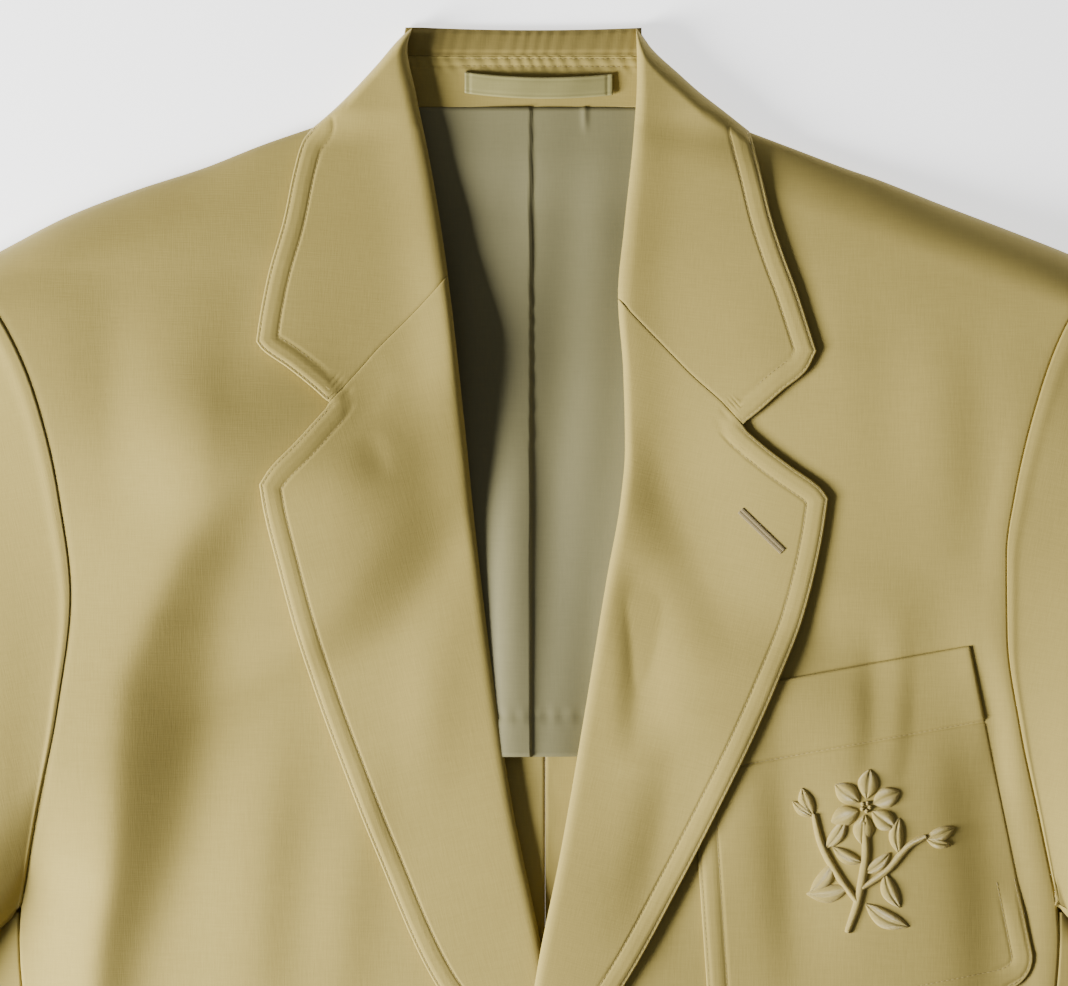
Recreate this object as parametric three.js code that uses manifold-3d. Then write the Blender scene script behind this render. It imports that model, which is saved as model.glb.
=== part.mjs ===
import * as THREE from "three";
import Module from "manifold-3d";

const wasm = await Module();
wasm.setup();

// Frame: X to the viewer's right, Y up the garment, Z up from the floor, millimetres.
// "down" below means the distance from the fold at the top of the collar towards the hem.
const LENGTH = 760;
const COLLAR_RISE = 1.8;
const MID_DOWN = (LENGTH - COLLAR_RISE) / 2;

// Cloth walls
const CLOTH = 1.5;
const LEAF = 2.4;
const LINING_CLOTH = 0.9;
const SEAM = 0.4;
const LAY_GAP = 1;
const SEAM_BACK_X = 4.5;

// Levels at the back neck
const FALL_TOP = 1.6;
const NECK_RISE = 2.1;
const STAND_TOP = 5.4;
const STAND_SEAM_DOWN = 11;
const NECK_DOWN = 33.6;

// Lower body
const SIDE_LEVEL = 7;
const UNDERARM_DOWN = 400;
const UNDERARM_X = 250;
const SIDE_SEAM_DOWN = 384;
const LINING_HEM_DOWN = 320;

// Roll edge of collar and lapels
const ROLL_REACH = 3.2;
const ROLL_LIFT = 3.2;
const ROLL_FADE = 15;
const FRONT_INSET = 3.7;

// Sleeve
const CUFF_OUTER = { x: 436, down: 672 };
const CUFF_INNER = { x: 308, down: 712 };

// Colours
const KHAKI = 0xb4a473;
const LINING_COLOR = 0x84805f;
const BUTTON_COLOR = 0x6a5638;

const clamp = (value, low, high) => Math.min(high, Math.max(low, value));
const mix = (a, b, t) => a + (b - a) * t;
const smooth = (low, high, value) => {
  const t = clamp((value - low) / (high - low), 0, 1);
  return t * t * (3 - 2 * t);
};
const bell = (distance, width) => Math.exp(-((distance / width) ** 2));

// A smooth curve through rows [at, value], level with its neighbours at a high or low row.
function curve(rows) {
  const n = rows.length;
  const slope = (i) => (rows[i + 1][1] - rows[i][1]) / (rows[i + 1][0] - rows[i][0]);
  const tangents = rows.map((row, i) => {
    if (i === 0) return slope(0);
    if (i === n - 1) return slope(n - 2);
    const before = slope(i - 1);
    const after = slope(i);
    return before * after <= 0 ? 0 : (2 * before * after) / (before + after);
  });
  return (at) => {
    if (at <= rows[0][0]) return rows[0][1] + (at - rows[0][0]) * tangents[0];
    if (at >= rows[n - 1][0]) return rows[n - 1][1] + (at - rows[n - 1][0]) * tangents[n - 1];
    let i = 0;
    while (at > rows[i + 1][0]) i += 1;
    const span = rows[i + 1][0] - rows[i][0];
    const t = (at - rows[i][0]) / span;
    const t2 = t * t;
    const t3 = t2 * t;
    const ends = (2 * t3 - 3 * t2 + 1) * rows[i][1] + (3 * t2 - 2 * t3) * rows[i + 1][1];
    return ends + span * ((t3 - 2 * t2 + t) * tangents[i] + (t3 - t2) * tangents[i + 1]);
  };
}

// A smooth path through points [x, down], run through by its share of the length.
function path(points) {
  const lengths = [0];
  for (let i = 1; i < points.length; i += 1) {
    const step = Math.hypot(points[i][0] - points[i - 1][0], points[i][1] - points[i - 1][1]);
    lengths.push(lengths[i - 1] + step);
  }
  const total = lengths[lengths.length - 1];
  const along = (column) => curve(points.map((point, i) => [lengths[i] / total, point[column]]));
  const across = along(0);
  const down = along(1);
  return (t) => [across(t), down(t)];
}

// Outlines of each side, x counted outwards from the middle of the garment: rows are [down, x].
const SIDES = {
  left: {
    sign: -1,
    roll: curve([[-1.8, 54.1], [8, 56.2], [26, 52.8], [63, 45.3], [108, 38.3], [171, 31.2],
      [219, 26.4], [278, 19.4], [341, 10.1], [397, -1.5], [440, -9], [472, -15]]),
    front_edge: curve([[455, -12], [490, -19], [520, -20], [640, -20], [700, -14], [738, 2], [760, 28]]),
    arm: curve([[106, 253], [125, 235.4], [160.6, 219], [203.7, 208.6], [248.6, 203.3],
      [296.6, 209], [353.8, 220.4], [384, 226]]),
    collar_outer: path([[97.7, 42.2], [102.5, 49.3], [106, 61.6], [110.4, 83.2], [117.5, 109.1],
      [121, 127.6], [122.3, 137.3]]),
    collar_notch: path([[91, 163.6], [97.7, 157.5], [108.7, 148.7], [119.7, 140.8], [122.3, 137.3]]),
    gorge: path([[38.3, 108], [48, 118.8], [56.3, 127.6], [68.6, 139.9], [77.4, 150], [90.2, 164]]),
    lapel_notch: path([[90.2, 165], [105.2, 181.7], [116.2, 193.2], [120.6, 200]]),
    lapel_outer: path([[120.6, 200], [118.8, 212], [113, 236.3], [106, 263], [96, 294.4], [84.5, 325.6],
      [70.4, 361.2], [43.6, 420.6], [20, 448], [0, 468], [-12, 482]]),
    neck_top: 38.5,
    silhouette: path([[54.1, -1.8], [58.5, 1.8], [70.4, 15.4], [84.9, 30.8], [92, 37.4], [97.7, 42.2]]),
    layer: 0,
  },
  right: {
    sign: 1,
    roll: curve([[-1.8, 44.6], [20, 44.9], [44, 43.6], [87, 39.2], [117, 36.5], [150, 38.8],
      [184, 39.6], [206, 37.8], [241, 31.7], [300, 22], [361, 11.4], [404, 2.6], [440, -4], [472, -14]]),
    front_edge: curve([[455, -9], [490, -18], [520, -20], [640, -20], [700, -14], [738, 2], [760, 28]]),
    arm: curve([[106, 253], [126.3, 234.5], [159.3, 221.3], [203.7, 210.8], [230.6, 207.2],
      [266.6, 207.7], [308.4, 213.8], [346.3, 222], [384, 230]]),
    collar_outer: path([[94.6, 44], [99.4, 63.4], [103.8, 81.8], [109.1, 98.6], [114.8, 114],
      [119.2, 127.6], [123.6, 141.5]]),
    collar_notch: path([[91.5, 173.2], [97.7, 168.5], [108.7, 158.8], [119.2, 150], [123.6, 141.5]]),
    gorge: path([[36.6, 118], [45, 127], [55.4, 137.7], [69.5, 152.2], [82.7, 164.1], [91.3, 173.6]]),
    lapel_notch: path([[91.3, 174.6], [101.6, 183.5], [112.6, 191.8], [125.4, 201.1], [129, 206]]),
    lapel_outer: path([[129, 206], [126, 226], [117.9, 259.2], [107.4, 286], [95.5, 313.3], [81.8, 341.4],
      [65.6, 373.1], [39.2, 420.6], [19, 448], [-1, 468], [-12, 482]]),
    neck_top: 42.5,
    silhouette: path([[44.6, -1.8], [51.9, 7.9], [63.8, 18.9], [72.2, 26.4], [84, 35.6], [94.6, 44]]),
    layer: 1,
  },
};

// Shoulder lines, rows [x, down], and the seams below the arm, rows [down, x]
SIDES.left.shoulder = curve([[50, 27], [80, 37.5], [98, 45.8], [120, 51.2], [145.6, 60.3],
  [175.6, 70], [205.5, 81.4], [235.4, 96.8], [253, 106]]);
SIDES.right.shoulder = curve([[50, 30], [80, 42], [94.6, 49.5], [112.6, 53.5], [138.6, 61.2],
  [149.6, 64.9], [179.5, 76.6], [209.4, 88], [234.5, 97.9], [253, 106]]);
const SIDE_SEAM = curve([[384, 0], [400, 1], [480, -6], [640, 8], [760, 12]]);
const SIDE_FOLD = curve([[400, 250], [480, 246], [640, 258], [760, 262]]);
const BACK_SEAM = curve([[400, 240], [480, 232], [640, 244], [760, 248]]);
const BACK_ARM = curve([[106, 252], [150, 236], [220, 228], [300, 230], [360, 236], [400, 240]]);

// Height of the front cloth's top face by row, rows [down, height], for four places across the panel.
const HEIGHTS = {
  roll: curve([[30, 9.5], [70, 10.5], [108, 12], [171, 13], [240, 14], [320, 12], [400, 6.5], [460, 4.5], [760, 4]]),
  inner: curve([[30, 11], [70, 16], [108, 19], [171, 20], [250, 20], [340, 16], [400, 12.5], [480, 11], [760, 9]]),
  chest: curve([[40, 14], [70, 22], [108, 27], [171, 28], [250, 25], [340, 20], [480, 15], [640, 14], [760, 11]]),
  arm: curve([[60, 28], [106, 34], [150, 33], [200, 29], [250, 24], [320, 16], [384, 7.5], [420, 7], [760, 7]]),
};
const OVERLAP_LIFT = curve([[330, 0], [395, 6.3], [430, 7.6], [470, 7.2], [510, 6.4], [760, 6]]);
const SHOULDER_FALL = 24;
const SHOULDER_EDGE = 3.3;

// Large folds of the front: a trough runs down a line, rows [down, x] for its middle.
const FOLDS = {
  left: [
    { middle: curve([[200, 173], [293, 180], [339, 182], [384, 190], [430, 202], [760, 205]]),
      depth: curve([[170, 0], [230, 7], [330, 8.5], [400, 7], [520, 3], [640, 0]]), width: 13 },
  ],
  right: [
    { middle: curve([[240, 178], [300, 188], [390, 206], [520, 210]]),
      depth: curve([[230, 0], [290, 2.4], [370, 3.2], [440, 2.4], [560, 0]]), width: 19 },
  ],
};
const DIAGONAL = {
  left: { middle: curve([[30, 214], [90, 216], [125, 234], [156, 290]]), depth: 3.4, width: 17 },
  right: { middle: curve([[50, 250], [120, 268], [190, 300]]), depth: 2, width: 20 },
};

function innerEdge(side, down) {
  const share = smooth(450, 476, down);
  return mix(side.roll(down) + FRONT_INSET, side.front_edge(down), share);
}

function outerEdge(side, down) {
  if (down <= 106) return 253;
  if (down <= SIDE_SEAM_DOWN) return side.arm(down);
  return side.arm(SIDE_SEAM_DOWN) + SIDE_SEAM(down);
}

// Height of the front cloth's top face at a place on either front.
function frontHeight(name, x, down) {
  const side = SIDES[name];
  const inner = innerEdge(side, clamp(down, 20, LENGTH));
  const outer = outerEdge(side, down);
  const u = clamp((x - inner) / (outer - inner), 0, 1);
  const at = clamp(down, 30, LENGTH);
  const across = curve([[0, HEIGHTS.roll(at)], [0.36, HEIGHTS.inner(at)], [0.74, HEIGHTS.chest(at)],
    [1, HEIGHTS.arm(at)]]);
  let height = across(u) + side.layer * OVERLAP_LIFT(clamp(down, 330, LENGTH)) * bell(x, 70);
  const inside = (down - side.shoulder(x)) * 0.92;
  const rise = Math.sqrt(1 - (1 - clamp(inside / SHOULDER_FALL, 0, 1)) ** 2);
  const fade = 1 - smooth(0.93, 1, u);
  for (const fold of FOLDS[name]) {
    const depth = Math.max(0, fold.depth(clamp(down, 170, 640)));
    height -= depth * bell(x - fold.middle(down), fold.width) * fade;
  }
  const diagonal = DIAGONAL[name];
  const swing = smooth(20, 60, x) * (1 - smooth(135, 165, x));
  height -= diagonal.depth * bell(down - diagonal.middle(x), diagonal.width) * swing;
  const edge = SHOULDER_EDGE + backLevel(down);
  return edge + (height - edge) * rise;
}

// Builds one closed solid from a grid of { x, down, top, bottom } with x counted to the viewer's right.
function plateGeometry(rows) {
  const face = (level) => rows.map((row) => row.map((point) => [point.x, point.down, point[level]]));
  return shellGeometry(face("top"), face("bottom"));
}

// Turns the faces the right way out where the grid ran the other way.
function closedGeometry(vertices, faces) {
  let volume = 0;
  const at = (k) => new THREE.Vector3(vertices[3 * k], vertices[3 * k + 1], vertices[3 * k + 2]);
  for (let f = 0; f < faces.length; f += 3) {
    volume += at(faces[f]).dot(at(faces[f + 1]).cross(at(faces[f + 2])));
  }
  if (volume < 0) {
    for (let f = 0; f < faces.length; f += 3) {
      [faces[f + 1], faces[f + 2]] = [faces[f + 2], faces[f + 1]];
    }
  }
  const geometry = new THREE.BufferGeometry();
  geometry.setAttribute("position", new THREE.Float32BufferAttribute(vertices, 3));
  geometry.setIndex(faces);
  return geometry;
}

// A patch between four edges, each a path from 0 to 1.
function patch(top, bottom, inner, outer) {
  const [topIn, topOut, lowIn, lowOut] = [top(0), top(1), bottom(0), bottom(1)];
  return (a, b) => [0, 1].map((k) => mix(inner(a)[k], outer(a)[k], b) + mix(top(b)[k], bottom(b)[k], a)
    - mix(mix(topIn[k], topOut[k], b), mix(lowIn[k], lowOut[k], b), a));
}

const lerpSteps = (from, to, count) => Array.from({ length: count + 1 }, (_, i) => mix(from, to, i / count));

// Rows shared by the front, the side body, the back and the sleeve: how far down the outer edge.
const ARM_ROWS = [106, 108, 112, 119, 130, 145, 163, 184, 206, 228, 250, 273, 297, 322, 347, 367, 384];
const BACK_ARM_ROWS = ARM_ROWS.filter((_, i) => i % 2 === 0);
const SKIRT_ROWS = [400, 420, 445, 470, 500, 535, 575, 620, 665, 705, 735, 748, LENGTH];
const FRONT_COLUMNS = [0, 0.03, 0.1, 0.19, 0.29, 0.39, 0.49, 0.59, 0.67, 0.74, 0.8, 0.86, 0.91, 0.96, 1];

function frontRows(name) {
  const side = SIDES[name];
  const outerRows = [...ARM_ROWS, ...SKIRT_ROWS];
  const neckTop = side.neck_top;
  const share = (down) => (down - ARM_ROWS[0]) / (LENGTH - ARM_ROWS[0]);
  const innerDown = curve([[0, neckTop], [share(130), 66], [share(250), 212], [share(384), 372], [1, LENGTH]]);
  const neckX = innerEdge(side, neckTop);
  const shoulderX = (b) => mix(neckX, ARM_TOP_X, b);
  const top = (b) => [shoulderX(b), mix(side.shoulder(shoulderX(b)), neckTop, bell(shoulderX(b) - neckX, 12))];
  const bottom = (b) => [mix(innerEdge(side, LENGTH), outerEdge(side, LENGTH), b), LENGTH];
  const inner = (a) => [innerEdge(side, innerDown(a)), innerDown(a)];
  const outer = (a) => {
    const down = mix(ARM_ROWS[0], LENGTH, a);
    return [outerEdge(side, down), down];
  };
  const place = patch(top, bottom, inner, outer);
  return outerRows.map((down) => FRONT_COLUMNS.map((b) => {
    const [x, at] = place(share(down), b);
    const height = frontHeight(name, x, at);
    return { x: side.sign * x, down: at, top: height, bottom: frontUnder(name, x, at, height) };
  }));
}

const ARM_TOP_X = 253;

// Underside of the front: the wall measured square to the cloth, never below the back cloth.
function frontUnder(name, x, down, height) {
  const step = 0.5;
  const dx = (frontHeight(name, x + step, down) - frontHeight(name, x - step, down)) / (2 * step);
  const dy = (frontHeight(name, x, down + step) - frontHeight(name, x, down - step)) / (2 * step);
  const upright = Math.min(2.2, Math.sqrt(1 + dx * dx + dy * dy));
  return Math.max(height - CLOTH * upright, Math.min(height - 0.8, backLevel(down) + CLOTH + 0.3));
}

// Finds the height of a built panel below a place, from its own flat faces.
function facetHeight(rows) {
  const triangles = [];
  for (let i = 0; i + 1 < rows.length; i += 1) {
    for (let j = 0; j + 1 < rows[0].length; j += 1) {
      const [a, b, c, d] = [rows[i][j], rows[i + 1][j], rows[i + 1][j + 1], rows[i][j + 1]];
      triangles.push([a, b, c], [a, c, d]);
    }
  }
  return (x, down) => {
    for (const [a, b, c] of triangles) {
      const area = (b.x - a.x) * (c.down - a.down) - (c.x - a.x) * (b.down - a.down);
      const s = ((x - a.x) * (c.down - a.down) - (c.x - a.x) * (down - a.down)) / area;
      const t = ((b.x - a.x) * (down - a.down) - (x - a.x) * (b.down - a.down)) / area;
      if (s >= -1e-6 && t >= -1e-6 && s + t <= 1 + 1e-6) {
        return a.top + s * (b.top - a.top) + t * (c.top - a.top);
      }
    }
    return null;
  };
}

const PANELS = { left: frontRows("left"), right: frontRows("right") };
const FACETS = { left: facetHeight(PANELS.left), right: facetHeight(PANELS.right) };

// Height of what a lapel or collar lies on: the front as built, and its plain run-out beyond it.
function bedHeight(name, x, down) {
  const sign = SIDES[name].sign;
  const under = FACETS[name](sign * x, down);
  const smoothHeight = frontHeight(name, x, down);
  return under === null ? smoothHeight : Math.max(under, smoothHeight);
}

// Chest pocket on the viewer's right front: its corners, x outwards and down.
const POCKET = {
  topIn: [66.9, 293.5], topOut: [191.4, 271], lowIn: [77.4, 447.5], lowOut: [222.2, 420],
  hem: 34, round: 15, thick: 1.5, hemExtra: 0.7,
};

function pocketPlace(across, drop) {
  const { topIn, topOut, lowIn, lowOut } = POCKET;
  return [0, 1].map((k) => mix(mix(topIn[k], topOut[k], across), mix(lowIn[k], lowOut[k], across), drop));
}

// How much a lapel rises where the pocket runs under it.
function pocketLift(name, x, down) {
  if (name !== "right") return 0;
  const drop = (down - mix(POCKET.topIn[1], POCKET.topOut[1], (x - 67) / 125)) / 154;
  const left = mix(POCKET.topIn[0], POCKET.lowIn[0], drop);
  return 4.1 * smooth(left - 14, left - 4, x) * smooth(-0.1, -0.04, drop);
}

// Adds the turned roll edge: the top face rounds down to the middle of the fold.
function rollLevels(distance, high, low, under) {
  const middle = (high + low) / 2;
  const radius = (high - low) / 2;
  const reach = clamp(distance / ROLL_REACH, 0, 1);
  const arc = Math.sqrt(1 - (1 - reach) ** 2);
  const top = middle + Math.max(0.35, radius * arc);
  const bottom = distance < ROLL_REACH ? middle - Math.max(0.35, radius * arc) : under;
  return { top, bottom };
}

const ROLL_STEPS = [0, 0.45, 1.4, 2.9, ROLL_REACH, 8];
const NOTCH_SHARE = 0.62;

// Columns of a lapel or leaf row: close to the roll in millimetres, then by share up to the free edge.
function columnShares(width) {
  const near = ROLL_STEPS.map((step) => step / Math.max(width, 16));
  const start = near[near.length - 1];
  const rest = [0.35, 0.7].map((t) => mix(start, NOTCH_SHARE, t));
  return [...near, ...rest, NOTCH_SHARE, 0.76, 0.9, 0.975, 1];
}

function joinPaths(first, second) {
  return (b) => (b <= NOTCH_SHARE ? first(b / NOTCH_SHARE) : second((b - NOTCH_SHARE) / (1 - NOTCH_SHARE)));
}

const LAPEL_ROWS = [0, 0.012, 0.04, 0.1, 0.17, 0.24, 0.31, 0.38, 0.45, 0.52, 0.59, 0.66, 0.73, 0.8, 0.87, 0.93, 0.975, 1];
const LAPEL_END_DOWN = 470;

function lapelRows(name) {
  const side = SIDES[name];
  const topDown = side.gorge(0)[1] + SEAM;
  const inner = (a) => {
    const down = mix(topDown, LAPEL_END_DOWN, a);
    return [side.roll(down), down];
  };
  const shifted = (edge) => (t) => [edge(t)[0], edge(t)[1] + SEAM];
  const top = joinPaths(shifted(side.gorge), side.lapel_notch);
  const bottom = (b) => [mix(inner(1)[0], side.lapel_outer(1)[0], b), mix(inner(1)[1], side.lapel_outer(1)[1], b)];
  const place = patch(top, bottom, inner, side.lapel_outer);
  return LAPEL_ROWS.map((a) => {
    const width = Math.hypot(place(a, 1)[0] - place(a, 0)[0], place(a, 1)[1] - place(a, 0)[1]);
    return columnShares(width).map((b) => {
      const [x, down] = place(a, b);
      const bed = bedHeight(name, x, down);
      const lift = ROLL_LIFT * bell(b * width, ROLL_FADE) * (1 - 0.9 * smooth(0.6, 0.86, a));
      const under = bed + LAY_GAP + lift + pocketLift(name, x, down);
      const low = mix(bed - CLOTH, under, smooth(434, 448, down));
      const levels = rollLevels(b * width, under + LEAF, low, under);
      return { x: side.sign * x, down, ...levels };
    });
  });
}

const LEAF_ROWS = [0, 0.007, 0.022, 0.036, 0.09, 0.18, 0.29, 0.4, 0.52, 0.64, 0.76, 0.87, 0.96, 0.99, 1];
const LEAF_DROP = 9;

function leafRows(name) {
  const side = SIDES[name];
  const endDown = side.gorge(0)[1];
  const inner = (a) => {
    const down = mix(-1.8, endDown, a);
    return [side.roll(down), down];
  };
  const end = joinPaths(side.gorge, side.collar_notch);
  const place = patch(side.silhouette, end, inner, side.collar_outer);
  const reach = Math.hypot(place(1, 0.5)[0] - place(0, 0.5)[0], place(1, 0.5)[1] - place(0, 0.5)[1]);
  return LEAF_ROWS.map((a) => {
    const width = Math.hypot(place(a, 1)[0] - place(a, 0)[0], place(a, 1)[1] - place(a, 0)[1]);
    return columnShares(width).map((b) => {
      const [x, down] = place(a, b);
      const fromFold = a * reach;
      const bed = Math.max(leafBed(name, x, down), STAND_TOP - 0.2);
      const under = bed + LAY_GAP + ROLL_LIFT * 0.7 * bell(b * width, ROLL_FADE);
      const low = down < 42 ? STAND_TOP + 0.5 : bed - CLOTH;
      const levels = rollLevels(b * width, under + LEAF, low, under);
      const arc = Math.sqrt(1 - (1 - clamp(fromFold / LEAF_DROP, 0, 1)) ** 2);
      const top = mix(1.2, levels.top, Math.max(arc, 0.04));
      const bottom = fromFold < 3.2 ? 0.15 : Math.min(levels.bottom, top - 1.4);
      return { x: side.sign * x, down, top, bottom };
    });
  });
}

// The leaf follows the front where it lies on it, and runs level over the neck above it.
function leafBed(name, x, down) {
  const neck = 9.4 + 2.6 * smooth(48, 82, x);
  const share = smooth(34, 52, down);
  const bed = down < 34 ? neck : mix(neck, bedHeight(name, x, down), share);
  const built = FACETS[name](SIDES[name].sign * x, down);
  return built === null ? bed : Math.max(bed, built);
}

// The back band of the collar: the fall on the floor, the fold and the strip above it.
function backBandGeometry() {
  const arcRadius = (STAND_TOP - FALL_TOP) / 2 + 0.02;
  const half = FALL_TOP / 2;
  const middle = { down: arcRadius + half, level: STAND_TOP / 2 };
  const section = [];
  for (const down of [51, 36, 20, 8]) section.push({ down, level: half, nx: 0, nz: -1 });
  for (const angle of lerpSteps(-90, -270, 8)) {
    const turn = (angle * Math.PI) / 180;
    section.push({
      down: middle.down + (middle.level - half) * Math.cos(turn),
      level: middle.level + (middle.level - half) * Math.sin(turn),
      nx: Math.cos(turn), nz: Math.sin(turn),
    });
  }
  section.push({ down: STAND_SEAM_DOWN, level: STAND_TOP - half, nx: 0, nz: 1 });
  const columns = lerpSteps(0, 1, 12);
  const rise = (x) => 0.6 + 1.2 * Math.min(1, Math.abs(x) / 50) ** 2;
  const grid = (offset) => section.map((spot) => columns.map((c) => {
    const at = clamp(spot.down, 0, 44);
    const onFloor = spot.nz === -1 && spot.down > 6;
    const leftX = onFloor ? foldX("left", at) : SIDES.left.roll(at) + 3;
    const rightX = onFloor ? foldX("right", at) : SIDES.right.roll(at) + 3;
    const x = mix(-leftX + 0.6, rightX - 0.6, c);
    const bow = spot.down > 40 ? -6 * (x / 95) ** 2 : -rise(x) * (1 - smooth(0, 12, spot.down));
    return [x, spot.down + spot.nx * offset + bow, spot.level + spot.nz * offset];
  }));
  return shellGeometry(grid(half), grid(-half));
}

function foldX(name, down) {
  const silhouette = SIDES[name].silhouette;
  let low = 0;
  let high = 1;
  for (let i = 0; i < 24; i += 1) {
    const middle = (low + high) / 2;
    if (silhouette(middle)[1] < down) low = middle;
    else high = middle;
  }
  return silhouette(low)[0];
}

// One closed solid between an outer and an inner grid of points [x, down, level].
function shellGeometry(outer, inner) {
  const rows = outer.length;
  const columns = outer[0].length;
  const vertices = [];
  const faces = [];
  for (const grid of [outer, inner]) {
    for (const row of grid) {
      for (const [x, down, level] of row) vertices.push(x, MID_DOWN - down, level);
    }
  }
  const under = rows * columns;
  const quad = (a, b, c, d) => faces.push(a, b, c, a, c, d);
  for (let i = 0; i + 1 < rows; i += 1) {
    for (let j = 0; j + 1 < columns; j += 1) {
      const a = i * columns + j;
      quad(a, a + columns, a + columns + 1, a + 1);
      quad(under + a, under + a + 1, under + a + columns + 1, under + a + columns);
    }
  }
  const rim = [];
  for (let j = 0; j < columns; j += 1) rim.push(j);
  for (let i = 1; i < rows; i += 1) rim.push(i * columns + columns - 1);
  for (let j = columns - 2; j >= 0; j -= 1) rim.push((rows - 1) * columns + j);
  for (let i = rows - 2; i > 0; i -= 1) rim.push(i * columns);
  rim.forEach((a, k) => {
    const b = rim[(k + 1) % rim.length];
    quad(a, b, under + b, under + a);
  });
  return closedGeometry(vertices, faces);
}

function toManifold(geometry) {
  const vertProperties = Float32Array.from(geometry.attributes.position.array);
  const triVerts = Uint32Array.from(geometry.index.array);
  return new wasm.Manifold(new wasm.Mesh({ numProp: 3, vertProperties, triVerts }));
}

function fromManifold(solid) {
  const mesh = solid.getMesh();
  const geometry = new THREE.BufferGeometry();
  geometry.setAttribute("position", new THREE.BufferAttribute(mesh.vertProperties, 3));
  geometry.setIndex(new THREE.BufferAttribute(mesh.triVerts, 1));
  return geometry;
}

function collarGeometry() {
  const left = toManifold(plateGeometry(leafRows("left")));
  const right = toManifold(plateGeometry(leafRows("right")));
  const band = toManifold(backBandGeometry());
  return fromManifold(left.add(band).add(right));
}

function backLevel(down) {
  return NECK_RISE * (1 - smooth(52, 84, down));
}

function backRows(name) {
  const { sign } = SIDES[name];
  const outerRows = [...BACK_ARM_ROWS, ...SKIRT_ROWS];
  const share = (down) => (down - ARM_ROWS[0]) / (LENGTH - ARM_ROWS[0]);
  const innerDown = curve([[0, NECK_DOWN], [share(112), 54], [share(130), 84], [share(384), 372], [1, LENGTH]]);
  const seam = SEAM_BACK_X * sign;
  const neckShare = 0.2;
  const top = (b) => {
    const x = mix(seam + 0.2, ARM_TOP_X - 1, b);
    return [x, mix(NECK_DOWN, SIDES[name].shoulder(x) + 0.5, smooth(neckShare, neckShare + 0.12, b))];
  };
  const outerX = (down) => (down <= UNDERARM_DOWN ? BACK_ARM(down) : BACK_SEAM(down));
  const bottom = (b) => [mix(seam + 0.2, outerX(LENGTH), b), LENGTH];
  const inner = (a) => [seam + 0.2, innerDown(a)];
  const outer = (a) => [outerX(mix(ARM_ROWS[0], LENGTH, a)), mix(ARM_ROWS[0], LENGTH, a)];
  const place = patch(top, bottom, inner, outer);
  return outerRows.map((down) => [0, 0.14, 0.28, 0.42, 0.6, 0.8, 1].map((b) => {
    const [x, at] = place(share(down), b);
    const level = backLevel(at);
    return { x: sign * x, down: at, top: level + CLOTH, bottom: level };
  }));
}

// Side body: over the top, round the side fold and under to the back.
function sideGeometry(name) {
  const { sign } = SIDES[name];
  const side = SIDES[name];
  const radius = SIDE_LEVEL / 2;
  const section = (down, first) => {
    const topIn = outerEdge(side, down) + SEAM + 0.2;
    const fold = SIDE_FOLD(down);
    const lowIn = BACK_SEAM(down) + SEAM + 0.3;
    const spots = [];
    for (const t of [0, 0.35, 0.7, 1]) spots.push([mix(topIn, fold - radius, t), radius, 1, 0]);
    for (const angle of [60, 30, 0, -30, -60]) {
      const turn = (angle * Math.PI) / 180;
      spots.push([fold - radius + radius * Math.cos(turn), radius, Math.sin(turn), Math.cos(turn)]);
    }
    for (const t of [0, 0.5, 1]) spots.push([mix(fold - radius, lowIn, t), radius, -1, 0]);
    const droop = (x) => (first ? -12 * smooth(fold, topIn, x) : 0);
    return (offset) => spots.map(([x, , nz, nx]) => [sign * (x - nx * offset), down + droop(x),
      radius + nz * (radius - offset)]);
  };
  const rows = [UNDERARM_DOWN, ...SKIRT_ROWS.slice(1)];
  const sections = rows.map((down, i) => section(i === 0 ? UNDERARM_DOWN + 0.6 : down, i === 0));
  return shellGeometry(sections.map((make) => make(0)), sections.map((make) => make(CLOTH)));
}

// Sleeve: rings round the flattened tube, from the armhole to the cuff.
const SLEEVE_STEPS = [0, 0.015, 0.05, 0.1, 0.16, 0.23, 0.31, 0.4, 0.5, 0.6, 0.7, 0.8, 0.9, 1];
const SLEEVE_WALL = 1.6;
const SLEEVE_TOP = { x: 255, down: 105.6 };

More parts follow.
